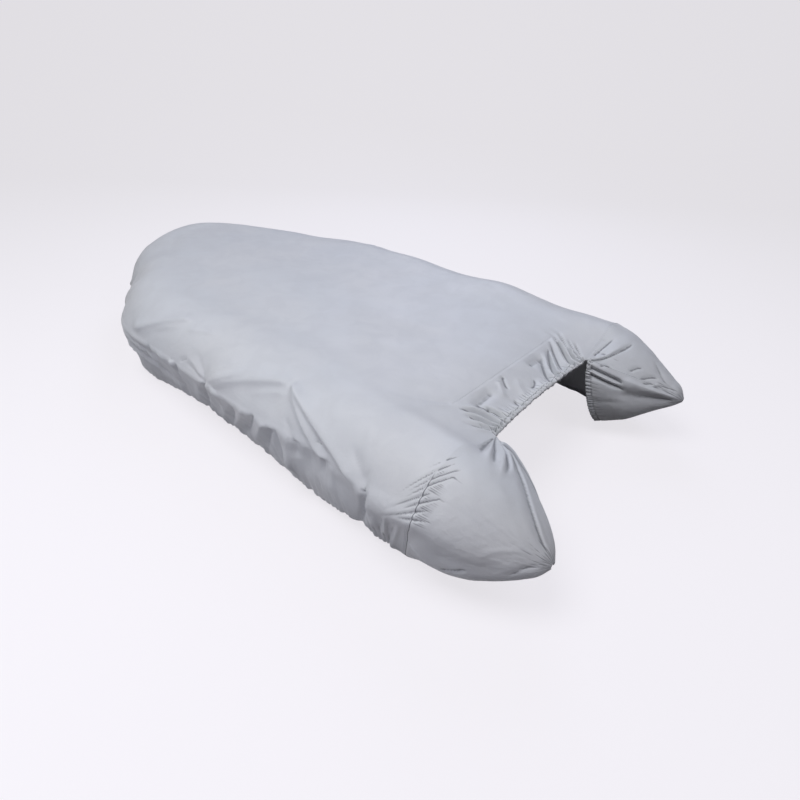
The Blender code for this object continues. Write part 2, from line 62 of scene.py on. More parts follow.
def table(columns, *rows):
    """Rows with named columns: those marked * are in millimetres, those marked % hundredths."""
    columns = columns.split()
    row_type = namedtuple("Row", [name.rstrip("*%") for name in columns])
    units = [{"*": 1000.0, "%": 100.0}.get(name[-1], 1.0) for name in columns]
    return tuple(row_type(*(value / unit for value, unit in zip(row, units))) for row in rows)


# ---- Driving sizes, as in the solids (metres, degrees) --------------------------------------
TUBE_RADIUS = 0.210
TUBE_Y = 0.537
SHOULDER_X = 1.604
SHOULDER_BEND = 0.35
BOW_X = 2.279
BOW_Y = 0.154
BOW_BEND = 0.259
BOW_RISE = 0.011
BOW_SWELL = 0.011
RISE_X = 0.80

SPINE_END = 2.149
SPINE_FAN_X = 0.60
PLAN_STEP = 0.004
CREST_ROUND = 0.16
FALL_STERN = 0.50
FALL_CHANGE = 0.45

KNUCKLE_OUT = 0.206
KNUCKLE_UP = 0.050
KNUCKLE_ROUND = 6.0
KNUCKLE_STERN, KNUCKLE_STERN_END = 9.0, 0.16        # more rounding, up to this station
KNUCKLE_SIDE, SIDE_PLACE, SIDE_LENGTH = 7.0, 0.38, 0.24    # and where the port side is smooth
LEAST_LEAN = 0.3
HEM_ROUND = 0.013
HEM_LIP = 0.042
HEM_LIP_RISE = 8.0

FLAP_SEAM_X = 0.163
FLAP_SPAN = 0.365
INNER_HEM_ANGLE = 137.0
INNER_EDGE_SLANT = 0.085
CORNER_EASE = 0.35
RING_FADE = 0.75
RING_SHARP = 0.17            # share of a cone over which its ring's knuckle dies out
RING_BLUR = 0.085            # and the girth over which it is then spread
RING_LEAN = 0.26             # the port ring seam runs ahead as it nears the hem,
LEAN_GIRTHS = (0.25, 0.27, 0.08)       # from these girths on,
LEAN_AHEAD, LEAN_AFT = 0.20, 0.10      # and takes the cloth beside it along so far
CLOTH = 0.0012
TUCK = 0.004                 # one piece runs this far under its neighbour at a seam
TUCK_DEPTH, TUCK_REACH = 0.0016, 0.006    # the step it leaves, and how far that reaches
CLOTH_GAP = 0.0004           # between the two cloths there
FLAP_SINK = 0.0006           # the flap's tucked cloth lies so far under its seams
MOUTH_LIP, MOUTH_LIP_SINK = 0.004, 0.0028    # a cone's free edge turns in so far
TINY = 1e-9
ORIGIN = np.array([1.00, 0.0, 0.188])

# ---- Form tables, as in the solids ----------------------------------------------------------
HEMS = table(
    "station* drop* out*",
    (0, 199, 123), (120, 190, 132), (220, 176, 143), (300, 164, 150), (400, 172, 152),
    (500, 164, 154), (580, 164, 150), (680, 174, 137), (800, 183, 124), (1000, 175, 124),
    (1170, 170, 125), (1380, 190, 122), (1520, 196, 136), (1680, 190, 188), (1950, 186, 182),
    (2200, 178, 135), (2500, 178, 123), (3100, 186, 130), (3700, 176, 123), (4300, 190, 126),
    (4750, 182, 123), (5000, 194, 123),
)
SAGS = table(
    "station* depth*",
    (0, 82), (163, 42), (500, 24), (1000, 18), (1600, 14), (2000, 8), (2300, 3), (2600, 1),
)
SWELLS = table(
    "x* y* length* width* turn height*",
    (620, 0, 300, 160, 20, -8), (1150, 160, 340, 120, -8, 7), (1450, -200, 300, 140, 12, -7),
    (1850, 100, 220, 120, 30, 6),
)
SWELL_FADE = 0.35
SWELL_START = 0.25
BULGES = table(
    "station* girth* length* width* height*",
    (620, 190, 200, 55, -8), (390, 285, 150, 90, -26), (130, 310, 90, 45, 9),
    (350, 440, 130, 90, 6), (540, 390, 28, 75, 26), (110, 420, 60, 100, 10),
    (1250, 160, 220, 80, 7), (1640, 340, 100, 90, 20), (1920, 170, 120, 80, -14),
    (2190, 40, 150, 140, -28), (2540, 70, 140, 110, 14), (3300, 40, 200, 100, -19),
    (3900, 60, 180, 100, 12), (4450, 30, 170, 130, 24), (4750, 50, 80, 90, -6),
)
CONE = "share% aft* radius* out* up* hang* inboard* under*"
PORT_CONE = table(
    CONE,
    (0, 0, 210, 0, 0, 0, 0, 0), (19.5, 75, 194, 1, 1, 12, 8, 0),
    (40.8, 150, 156, 4, 5, 20, 18, 0), (63.7, 225, 106, 8, 8, 21, 22, 0),
    (83.2, 285, 60, 10, 6, 18, 16, 0), (94.5, 318, 30, 11, 2, 12, 6, 0),
    (100, 332, 10, 11, 0, 4, 0, 0),
)
STARBOARD_CONE = table(
    CONE,
    (0, 0, 210, 0, 0, 0, 0, 0), (19.5, 75, 191, 1, 1, 3, -12, -12),
    (40.8, 150, 150, 4, 4, 4, -3, 11), (63.7, 225, 102, 8, 6, 4, 2, 23),
    (83.2, 286, 61, 10, 8, 4, 2, 13), (94.5, 326, 35, 11, 5, 2, 0, 0),
    (100, 345, 8, 11, 1, 0, 0, 0),
)
# The angle about which each of the last three columns swells a cone, and how far round.
CONE_SWELLS = (("hang", 126.0, 40.0), ("inboard", -75.0, 35.0), ("under", -128.0, 32.0))

# ---- Folds of the visual model --------------------------------------------------------------
# A crease runs from one place to another, bowed aside by "bow" at its middle.  Half widths at
# its two ends, height (a trough is negative), the share of its length over which each end
# fades in, and skew: the half width on its lower side over that above it.
CREASE = "x0* y0* x1* y1* bow* w0* w1* height* fade0% fade1% skew%"
CREASE_SOFT, CREASE_FALL, CREASE_POWER = 0.22, 1.25, 1.35    # its top, and its flanks
CREASE_TIP = 0.6             # it ends within this share of its half width
CREASE_START = 0.15          # and starts with this share of its height
# by station and girth
CREASES = table(
    CREASE,
    # the port peak and its two arms
    (606, 106, 990, 268, -10, 30, 70, 16.5, 9, 22, 42),
    (606, 104, 215, 270, 2, 24, 40, 17, 7, 12, 34),
    (590, 120, 355, 282, 4, 18, 26, 12, 10, 10, 60),
    (600, 140, 760, 215, -4, 12, 18, 3.5, 20, 40, 80),
    # thin parallel folds above the bow arm, closing at the knuckle
    (740, 110, 980, 245, 0, 8, 12, 3.2, 50, 15, 80),
    (800, 155, 985, 258, 2, 8, 12, 4.2, 40, 15, 60),
    (840, 120, 985, 235, -4, 8, 14, 3, 50, 20, 80),
    # the light strut that hangs from the peak, with a crease on each side
    (565, 205, 500, 275, 0, 10, 14, -5, 30, 20, 100),
    (500, 262, 497, 350, 0, 16, 12, -8, 20, 30, 100),
    (590, 262, 575, 470, 0, 16, 18, -9, 15, 25, 100),
    (415, 222, 378, 222, 0, 9, 9, -4, 30, 30, 100),
    # under the stern arm
    (364, 262, 385, 360, 6, 10, 14, -6, 10, 45, 70),
    (330, 280, 345, 420, 4, 18, 24, 5.5, 25, 40, 100),
    (420, 380, 380, 510, -6, 10, 14, -5, 30, 25, 100),
    (440, 270, 460, 420, 4, 16, 24, -4.5, 25, 40, 100),
    (370, 400, 330, 520, 0, 12, 16, -4.5, 30, 25, 100),
    # lines that gather at the knuckle near the stern
    (170, 280, 275, 162, -4, 11, 14, -8.5, 2, 30, 100),
    (170, 280, 186, 190, 4, 11, 12, -7.5, 2, 45, 100),
    (172, 272, 226, 200, 2, 10, 20, 5, 2, 50, 100),
    (172, 268, 262, 135, 0, 11, 14, -3.5, 5, 50, 100),
    (168, 272, 236, 530, 10, 10, 16, -19, 2, 2, 80),
    (150, 285, 185, 520, 6, 22, 24, 6, 20, 10, 100),
    # valleys that run down and forward under the knuckle
    (605, 278, 770, 520, 4, 10, 18, -14, 5, 5, 70), (640, 268, 850, 520, 8, 14, 22, 8, 8, 10, 60),
    (700, 268, 930, 530, 10, 10, 18, -14, 5, 5, 70),
    (760, 275, 1000, 520, 12, 14, 20, 8, 10, 10, 60),
    (830, 300, 1010, 530, 4, 10, 18, -15, 15, 5, 70),
    (930, 262, 960, 345, 4, 24, 24, 8, 20, 40, 100),
    (900, 330, 1070, 530, 6, 18, 24, 7, 25, 10, 70),
    (1000, 262, 1180, 530, 12, 9, 16, -16, 3, 5, 60),
    (1060, 300, 1240, 520, 6, 18, 26, 7, 20, 10, 70),
    (1236, 262, 1222, 390, 0, 15, 18, 11, 10, 45, 100),
    (1200, 268, 1330, 530, 6, 14, 22, -10, 5, 10, 70),
    (1330, 262, 1290, 450, 0, 22, 28, 6, 20, 30, 100),
    # small folds over the knuckle, between the arms and the bow
    (1000, 275, 1120, 180, -22, 7, 12, -3, 5, 45, 100),
    (1000, 275, 1165, 245, -14, 7, 10, -3.2, 5, 40, 100),
    (1000, 270, 1005, 175, 8, 8, 18, -4, 5, 60, 100),
    (1030, 258, 1130, 215, -10, 9, 12, 4.5, 15, 35, 100),
    (1130, 218, 1180, 252, 0, 8, 10, -5, 30, 30, 80),
    (1060, 78, 1215, 132, 3, 20, 26, 5.5, 40, 30, 45),
    # the bow crease and what fans out of the corner below it
    (1225, 82, 1545, 246, 3, 34, 36, 13.5, 12, 12, 34),
    (1235, 118, 1520, 250, 3, 16, 26, 6, 35, 20, 80),
    (1270, 160, 1440, 215, 2, 14, 18, -3, 35, 40, 100),
    (1615, 330, 1290, 480, 4, 9, 16, -8.5, 5, 30, 80),
    (1620, 355, 1330, 520, 4, 10, 18, 8.5, 5, 10, 70),
    (1630, 380, 1400, 530, 4, 8, 14, -8.5, 5, 10, 80),
    (1600, 300, 1340, 390, 6, 10, 18, 6.5, 5, 40, 70),
    (1590, 290, 1400, 330, 6, 9, 14, -5.5, 5, 40, 80),
    (1500, 300, 1470, 480, 4, 14, 18, -7, 15, 20, 100),
    (1425, 262, 1390, 470, 4, 12, 18, -7, 10, 25, 100),
    # port bow and stem, out of the main view
    (1780, 130, 1900, 480, 10, 26, 40, 11, 20, 10, 80),
    (1980, 180, 2100, 510, -8, 22, 34, -11, 20, 5, 80),
    (2200, 260, 2260, 510, 6, 18, 34, -12, 10, 5, 70),
    (2330, 150, 2360, 430, 6, 26, 36, 8, 30, 20, 100),
    (2560, 220, 2500, 510, -6, 18, 34, -11, 15, 5, 80),
    (2700, 200, 2640, 510, 6, 20, 36, -12, 15, 5, 80),
    (2860, 120, 2780, 460, 8, 26, 40, 10, 25, 15, 80),
    (1840, 262, 1760, 510, 4, 12, 24, -10, 5, 5, 80),
    (2080, 270, 2170, 510, -4, 12, 22, 8.5, 10, 5, 100),
    (2300, 262, 2330, 330, 2, 9, 14, -5, 5, 50, 100),
    (2440, 262, 2410, 510, 4, 12, 22, -8.5, 5, 10, 100),
    (2620, 280, 2580, 510, 4, 12, 22, 8, 15, 5, 100),
    (2770, 262, 2730, 360, 2, 10, 16, -5.5, 5, 50, 100),
    (2960, 262, 2900, 510, 4, 12, 24, -10.5, 5, 5, 80),
    # starboard side
    (3140, 110, 3020, 460, 10, 26, 40, 10, 20, 15, 80),
    (3330, 240, 3240, 510, 6, 18, 34, -13, 10, 5, 70),
    (3570, 108, 3260, 268, 6, 40, 56, 9, 5, 20, 40),
    (3565, 108, 3910, 268, -6, 40, 56, 8.5, 5, 20, 40),
    (3590, 240, 3520, 510, 6, 24, 36, 11, 20, 5, 100),
    (3720, 280, 3640, 510, 6, 18, 34, -11, 15, 5, 70),
    (3910, 268, 3800, 510, 6, 14, 34, -14, 4, 5, 70),
    (4090, 270, 4010, 510, 4, 18, 34, -11, 15, 5, 80),
    (4420, 120, 4170, 270, 4, 36, 46, 7, 8, 25, 40),
    (4300, 290, 4260, 510, 4, 20, 36, 9, 15, 5, 100),
    (4440, 110, 4640, 268, -4, 34, 40, 7, 10, 20, 40),
    (4560, 270, 4600, 510, 4, 18, 30, -12, 10, 5, 80),
    (4820, 272, 4790, 510, 4, 14, 26, -13, 5, 5, 80),
    (4820, 270, 4730, 160, 4, 8, 18, -4.5, 3, 50, 100),
)

# Short puckers that the ring seams draw in, on both sides of the seam: place round the
# cloth, half width, reach into the main panel and the cone, lean (girth gained per metre
# ahead), height.
PUCKER = "girth* width* ahead* aft* lean height*"
PORT_PUCKERS = table(
    PUCKER,
    (-130, 7.4, 20, 20, 0, -1), (-30, 7.4, 22, 18, 0, -0.9), (72, 5, 22, 12, 1.6, -1.8),
    (92, 8, 26, 10, 1.6, 1), (108, 4.6, 40, 12, 1.6, -4), (122, 7, 30, 12, 1.5, 1.4),
    (136, 4.4, 26, 34, 1.4, -3.4), (146, 6, 26, 26, 1.4, 1.4), (157, 4.4, 24, 42, 1.3, -4),
    (174, 7, 40, 10, 1.1, 1.6), (187, 4.8, 56, 9, 1, -5.2), (199, 6, 36, 18, 0.9, 1.6),
    (210, 4.4, 22, 34, 0.9, -4.4), (222, 6.5, 46, 14, 0.8, 1.8), (235, 4.6, 64, 14, 0.7, -5.6),
    (247, 6.5, 52, 16, 0.5, 1.8), (258, 4.4, 50, 26, 0.4, -4), (274, 8.8, 40, 16, 0.2, 1.2),
    (300, 6.2, 24, 14, 0, -1.6), (345, 15, 28, 14, 0, 1), (400, 8.7, 30, 14, 0, -1.8),
    (450, 15, 28, 14, 0, 0.9),
)
STARBOARD_PUCKERS = table(
    PUCKER,
    (-150, 5, 18, 60, 0, -3.2), (-120, 10, 16, 50, 0, 1.4), (-80, 6.2, 20, 30, 0, -2.3),
    (-30, 15, 18, 22, 0, 0.9), (30, 7.4, 20, 20, 0, -2.1), (90, 12.5, 30, 24, 0.5, 1.4),
    (118, 5, 40, 30, 0.9, -3.8), (142, 10, 45, 34, 1, 1.9), (168, 5, 50, 40, 0.9, -4.4),
    (196, 10, 55, 45, 0.7, 2.1), (224, 5, 60, 45, 0.5, -4.6), (252, 11.2, 55, 40, 0.2, 2),
    (285, 6.2, 35, 30, 0, -3.2), (340, 15, 30, 26, 0, 1.3), (410, 7.4, 30, 22, 0, -2.5),
)
LEAN_LIMIT = -0.045          # the lean goes no further aft than this
# Girth from which a ring seam shows, over what length, and how strongly to starboard.
PORT_RING_SHOWS, STARBOARD_RING_SHOWS = (0.115, 0.02), (-0.16, 0.05, 0.35)

# Upright pleats of the side just ahead of the port ring seam: "top" is a girth.
SIDE_PLEATS = table(
    "station* top* width* lean height*",
    (30, 300, 8, 0.1, 5), (52, 330, 7, 0.12, -6), (74, 290, 9, 0.1, 6), (98, 350, 7, 0.16, -6),
    (122, 320, 10, 0.16, 5), (160, 360, 8, 0.1, -4.5),
)

# Creases of the deck, in plan.
DECK_CREASES = table(
    CREASE,
    # fans out of the port corner of the flap
    (175, 345, 330, 470, 6, 10, 30, -3.5, 5, 60, 100),
    (170, 360, 260, 520, 4, 8, 24, 3, 5, 60, 100),
    (180, 330, 420, 370, -8, 12, 34, 3, 5, 60, 100),
    # and out of the starboard corner
    (170, -330, 300, -300, 4, 8, 20, -3, 5, 60, 100),
    (172, -290, 280, -230, 4, 10, 22, 3, 5, 60, 100),
    (172, -240, 270, -180, 4, 10, 22, -3, 5, 60, 100),
    (170, -180, 250, -130, 4, 10, 22, 2.2, 5, 60, 100),
    # long soft lines of the stretched top
    (350, 440, 1050, 500, 12, 30, 40, 3, 40, 40, 80),
    (500, 360, 1250, 430, -20, 40, 50, -2.6, 40, 40, 100),
    (450, 80, 850, 330, 20, 40, 50, 2.4, 40, 40, 100),
    (900, -350, 1700, -60, 30, 50, 60, 3, 40, 40, 100),
    (1250, 60, 1900, 250, -20, 45, 50, 2.8, 40, 40, 100),
    (350, -420, 900, -480, -12, 30, 45, 3, 40, 40, 100),
)

# Folds of the cones, by metres aft and girth on the front ring from the crest, outboard
# positive.
PORT_FOLDS = table(
    CREASE,
    # the fan of pleats out of the inboard corner
    (3, -195, 34, -45, 4, 6, 10, -6, 2, 40, 100), (2, -208, 52, -20, 4, 6, 11, -6.5, 2, 40, 100),
    (2, -213, 84, -10, 0, 6, 11, 7, 2, 35, 100), (2, -217, 92, -36, -4, 6, 10, -10.5, 2, 35, 100),
    (2, -221, 128, -14, -20, 6, 11, 8, 2, 30, 100),
    (2, -225, 130, -50, -22, 6, 10, -10, 2, 35, 100),
    (40, -205, 142, -88, -10, 7, 10, 4.5, 25, 35, 100),
    # the long trough over the inboard side, and the light fold on its far side
    (70, -190, 314, 66, -26, 12, 24, -10.5, 30, 12, 100),
    (30, -218, 318, 30, -26, 10, 22, 7, 20, 12, 100),
    (12, -300, 320, -200, -10, 10, 26, -8, 3, 25, 100),
    (10, -330, 250, -360, -6, 9, 20, 7, 3, 30, 100),
    # slack over the lower outboard side and the tip
    (40, 360, 250, 372, 4, 45, 50, -8, 30, 30, 100),
    (185, 330, 280, 200, -20, 16, 16, 2, 30, 30, 80),
    (262, 400, 326, 280, -12, 12, 14, -5, 20, 15, 80),
    (96, 440, 160, 392, 4, 6, 6, -9, 25, 25, 100), (10, 400, 85, 440, 2, 8, 8, 6, 20, 25, 100),
    (300, 300, 330, 120, 4, 12, 14, -5, 20, 20, 80),
)
STARBOARD_FOLDS = table(
    CREASE,
    # thin creases that close at the inboard corner
    (10, -180, 36, -50, 2, 5, 9, -5, 5, 35, 100), (12, -214, 104, -22, -15, 4, 8, -8, 3, 30, 70),
    (14, -206, 80, -60, -10, 7, 12, 5, 3, 40, 100),
    (10, -222, 60, -150, -6, 5, 9, -5, 3, 45, 100),
    # two deep troughs and the ridges beside them
    (10, -228, 140, -242, 0, 9, 16, 7, 3, 35, 100),
    (12, -238, 142, -262, 4, 8, 13, -16, 3, 25, 100),
    (14, -250, 125, -276, 2, 7, 11, 9, 3, 30, 100),
    (14, -262, 150, -298, 4, 8, 13, -15, 3, 30, 90),
    # the long fold edge to the tip, over the shaded inboard side
    (100, -245, 338, -272, 4, 60, 50, 20, 35, 3, 38),
    (80, -320, 325, -335, 4, 40, 40, -11, 30, 10, 100),
    # dimples above it
    (46, -224, 78, -204, 2, 6, 7, -4, 30, 30, 100),
    (146, -190, 178, -118, 6, 7, 9, -4.5, 30, 30, 100),
    (190, -215, 238, -120, 4, 8, 10, -5, 25, 30, 100),
    (205, -238, 236, -205, 2, 7, 8, -5.5, 30, 30, 100),
    (240, -225, 262, -160, 2, 8, 9, 4, 30, 30, 100),
    (195, 10, 285, -150, -6, 10, 14, -4, 35, 35, 100),
    (262, -190, 318, -120, 0, 10, 12, -4, 30, 30, 100),
    # slack of the inboard side and the far one
    (16, -376, 170, -378, 4, 12, 20, -2.5, 10, 45, 100),
    (60, 420, 300, 350, 10, 26, 40, 8, 20, 30, 70),
    (80, 220, 300, 140, 10, 30, 40, -6, 30, 30, 100),
)

# Creases of the flap, in plan like those of the deck: they run on over its seams.
STERN_CREASES = table(
    CREASE,
    # into the port corner
    (10, 280, 140, 338, -10, 6, 11, -20.9, 4, 40, 80),
    (8, 294, 128, 346, -8, 6, 9, 9.4, 4, 40, 100),
    (6, 304, 112, 352, -6, 6, 8, -15.5, 4, 40, 100), (6, 312, 96, 366, -4, 5, 9, 6.7, 4, 45, 100),
    (6, 320, 90, 386, -2, 6, 9, -10, 4, 50, 100), (10, 330, 70, 410, 0, 6, 12, 5.4, 4, 55, 100),
    (14, 262, 148, 330, -14, 9, 14, 10.8, 4, 35, 100),
    (20, 236, 120, 262, -6, 6, 8, -10.9, 5, 40, 100),
    (18, 200, 105, 240, 6, 10, 18, 7.4, 5, 45, 100),
    (82, 270, 94, 238, -6, 6, 6, -9.1, 25, 25, 100),
    # the hollows under the seam
    (118, 290, 128, 150, 0, 16, 22, -11.5, 25, 25, 100),
    (126, -80, 122, -190, 0, 16, 20, -9.5, 25, 30, 100),
    (150, 60, 98, 104, 4, 8, 10, -6.8, 20, 30, 100),
    (140, 100, 80, 150, 4, 10, 14, 6, 20, 30, 100),
    (40, 80, 110, 20, 4, 14, 22, 4.8, 25, 40, 100),
    (56, 20, 76, -40, -10, 9, 10, -4.7, 30, 30, 100),
    (16, 140, 66, 120, 4, 9, 14, -5.4, 5, 50, 100),
    (16, -20, 70, -60, 4, 10, 16, 5.4, 5, 50, 100),
    # into the starboard corner
    (14, -74, 128, -190, 10, 8, 17, -12, 4, 40, 100),
    (12, -98, 130, -222, 12, 9, 16, 9.2, 4, 40, 100),
    (10, -118, 140, -272, 12, 6, 11, -17.9, 4, 40, 100),
    (10, -140, 150, -292, 10, 8, 13, 9.9, 4, 40, 100),
    (10, -178, 170, -320, 6, 8, 13, -9, 4, 45, 100),
    (10, -214, 180, -352, 4, 9, 14, 8.6, 4, 45, 100),
    (10, -246, 185, -378, 2, 6, 10, -14.9, 4, 45, 100),
    (10, -262, 185, -394, 2, 7, 11, 9.9, 4, 45, 100),
    (10, -276, 175, -402, 0, 6, 9, -17.9, 4, 45, 100),
    (8, -290, 150, -398, 0, 5, 9, 9.9, 4, 45, 100),
    (8, -298, 130, -390, 0, 5, 8, -12.8, 4, 45, 100),
    (6, -308, 110, -386, 0, 5, 8, 7.4, 4, 45, 100), (6, -318, 90, -390, 0, 5, 7, -9, 4, 50, 100),
)
FLAP_BELLY, BELLY_POWER = 0.011, 1.2
EDGE_DRAW = 0.014            # the elastic draws the middle of the free edge forward
SEAM_HALF = 0.345            # half the length of the flap's seam
FLAP_SIDE = 0.24
LINE_DEGREE = 7              # its boundary lines are smoothed by polynomials of this degree
CASING = 0.020               # width of the gathered casing along an elastic edge
GATHER, MOUTH_GATHER = 0.0170, 0.0130    # mean pitch of its gathers, and on the cones
GATHER_HEIGHT, SLOW_GATHER, EDGE_FLARE = 0.0115, 0.0024, 0.0050
MOUTH_HEIGHT, MOUTH_BEYOND = 0.0027, 0.0008    # on the cones, in the casing and beyond it
CASING_GROOVE = (0.0030, 0.0022)         # half width and depth at the casing's stitches,
RING_GROOVE, FLAP_GROOVE = (0.0026, 0.00154), (0.0025, 0.0004)      # and of the other seams
FLARE_LAG, FLARE_REACH = 0.0060, 0.006   # the flare runs behind the gathers
EDGE_STEP = 0.004            # cloth taken by each step of the roll
# Steps (x, z) by which the free edge rolls under.
EDGE_ROLL = ((-0.0030, -0.0012), (-0.0036, -0.0048), (0.0004, -0.0070), (0.0070, -0.0068))

# Scallops of the elastic hem: the mean spacing, its rise and its stand-out.
SCALLOP = 0.085
SCALLOP_RISE = 0.0022
SCALLOP_OUT = 0.0025
RIPPLE = 0.030               # and of the finer ripples of the port side
RIPPLE_RISE = 0.0022
HEM_HOLD, HOLD_FROM = 0.65, 0.80    # the elastic takes this share out of folds, from this q
# Places where the hem lifts clear.
SLOTS = table(
    "station* length* rise*",
    (215, 28, 12), (1165, 25, 6), (970, 20, 5), (800, 20, 4), (3400, 40, 8), (4550, 40, 8),
)

# The cloth's slow unevenness: seed, pitch, octaves, height.
UNEVEN_MAIN = (3, 0.22, 2, 0.0010)
UNEVEN_SIDE = (4, 0.09, 3, 0.0016)
UNEVEN_DECK = (6, 0.25, 2, 0.0008)
UNEVEN_CONES = {1.0: (9, 0.10, 3, 0.0012), -1.0: (7, 0.10, 3, 0.0012)}
UNEVEN_FLAP = (9, 0.10, 2, 0.0014)

# ---- How finely each piece is cut up --------------------------------------------------------
SEAM_STEP, NEAR_STEP, BOW_STEP = 0.0042, 0.0075, 0.0220
FAR_SHARE = 3                # the starboard side has one station for so many to port
SEAM_LENGTH = 0.09           # the closest stations lie beside a ring seam
NEAR_END = 1.72
DECK_ROWS = ((-FLAP_SPAN, 11), (-0.21, 13), (0.0, 8))    # up to this q, this many rows
SIDE_ROWS = ((0.15, 8), (0.56, 51), (1.0, 21))
LIP_ROWS = 5
CORNER_ROW = DECK_ROWS[0][1]
CREST_ROW = sum(count for _, count in DECK_ROWS)
PORT_STITCH_ROW = CREST_ROW + 14         # its ring seam's stitches start here
RING_SPLIT = 2               # the cones have so many columns for one row of the main panel
CONE_RINGS = 84
CONE_FRONT = 0.55            # the first rings lie this much closer than the others
INNER_ROWS = 190
FLAP_ROWS, FLAP_COLUMNS = 72, 600
FLAP_CLOSE = 0.85            # rows lie closer towards the free edge

# ---- Sewing ---------------------------------------------------------------------------------
STITCH, STITCH_GAP = 0.0052, 0.0034
STITCH_WIDE, STITCH_HIGH, STITCH_SUNK = 0.0015, 0.0008, 0.0003
# Sections of a stitch: place along it, share of its width, share of its height.
STITCH_SECTIONS = ((0.0, 0.55, -0.25), (0.22, 1.0, 1.0), (0.78, 1.0, 1.0), (1.0, 0.55, -0.25))
SEAM_ALLOWANCE = 0.0050      # the stitch line's distance from the upper piece's edge
HEM_STITCH = 0.022           # and from the hem's fold
CONE_HEM_STITCH, CONE_FOOT = 2.4, 6      # on the cones, in rows, and their rings left bare

# ---- Cloth and thread -----------------------------------------------------------------------
YARNS = 900.0                # per metre
WEAVE, CRUMPLE, CRINKLE = 0.00008, 0.00015, 0.0009
CLOTH_COOL = (0.548, 0.574, 0.598, 1.0)
CLOTH_WARM = (0.572, 0.588, 0.600, 1.0)
CLOTH_DARK = (0.500, 0.518, 0.540, 1.0)
CLOTH_LIGHT = (0.630, 0.648, 0.660, 1.0)
CLOTH_DUST = (0.430, 0.430, 0.430, 1.0)
# the dark colour painted as shade into the hollows of folds, between gathers and along the port
# ring seam
PAINTED_SHADE = (0.120, 0.126, 0.140, 1.0)
THREAD_DARK = (0.330, 0.345, 0.375, 1.0)
THREAD_LIGHT = (0.460, 0.480, 0.510, 1.0)
HOLLOW_SHADE = 0.74          # painted shade in the hollows of folds: its share where full,
HOLLOW_BENDS = (14.0, 105.0)             # and the bend per metre where it starts and is full;
DEEP_BENDS = (35.0, 290.0)               # the main panel, cut coarser, shades later
FLAP_GATHER_SHADE, CONE_GATHER_SHADE = 0.9, 0.6          # the same painted shade, between gathers

# ---- Camera, floor and light ----------------------------------------------------------------
CAMERA_PLACE = (-0.560, 1.485, 1.075)
CAMERA_YAW, CAMERA_PITCH, CAMERA_ROLL = -0.880, -0.589, 0.048
CAMERA_LENS = 22.68
FLOOR_DROP = 0.0015          # below the solids' lowest point
FLOOR_NEAR, FLOOR_HALF = -9.0, 14.0      # where it starts behind the camera, half its width
SWEEP_START, SWEEP_RADIUS, SWEEP_STEPS, SWEEP_TOP = 4.2, 2.6, 24, 9.6
FLOOR_COLOUR = (0.900, 0.880, 0.920, 1.0)
FLOOR_BASE = (0.200, 0.196, 0.204, 1.0)
FLOOR_SHADE = (0.190, 0.187, 0.195, 1.0)
FLOOR_GLOW = 0.82            # evens out the backdrop
SURROUND_RADIUS = 30.0
SURROUND_COLOUR = (0.755, 0.740, 0.775, 1.0)
SURROUND_SHADE = (0.735, 0.722, 0.752, 1.0)
WORLD_LOW = (0.002, 0.002, 0.002, 1.0)
WORLD_HIGH = (0.003, 0.003, 0.004, 1.0)
WORLD_CHANGE = (-0.15, 0.25)             # from one to the other over these heights
# Name, place, size, power, colour; each shines at the middle of the cover.
LIGHTS = (
    ("key_high_port", (0.00, 1.78, 3.81), 2.6, 120.5, (0.98, 0.98, 1.00)),
    ("sky_starboard_bow", (1.49, -2.57, 2.97), 2.6, 59.0, (0.70, 0.75, 1.00)),
    ("sky_stern", (-2.97, 0.00, 2.97), 2.6, 40.0, (0.92, 0.90, 1.00)),
    ("low_port", (0.00, 3.38, 0.36), 1.1, 27.0, (0.89, 0.89, 1.00)),
    ("low_port_stern", (-1.94, 2.77, 0.36), 1.1, 5.5, (0.96, 0.88, 1.00)),
)


def smoothstep(x):
    x = np.clip(x, 0.0, 1.0)
    return x * x * (3.0 - 2.0 * x)


def bell(x, width, power=2):
    """A bell of height 1 about 0; a higher power gives it a flatter top."""
    return np.exp(-np.abs(x / width) ** power)


def read_table(rows, column, x):
    """A smooth curve through one column of a table, whose first column is the place."""
    xs = np.array([row[0] for row in rows], float)
    ys = np.array([getattr(row, column) for row in rows], float)
    slope = np.gradient(ys, xs)
    i = np.clip(np.searchsorted(xs, x) - 1, 0, len(xs) - 2)
    span = xs[i + 1] - xs[i]
    t = np.clip((x - xs[i]) / span, 0.0, 1.0)
    return ((2 * t**3 - 3 * t**2 + 1) * ys[i] + (t**3 - 2 * t**2 + t) * span * slope[i]
            + (3 * t**2 - 2 * t**3) * ys[i + 1] + (t**3 - t**2) * span * slope[i + 1])


def along(places, ways, line):
    """Points at some places of a line whose own points lie at "ways"."""
    return np.stack([np.interp(places, ways, line[:, i]) for i in range(line.shape[1])], axis=-1)


def unit(vectors):
    return vectors / np.linalg.norm(vectors, axis=-1, keepdims=True)


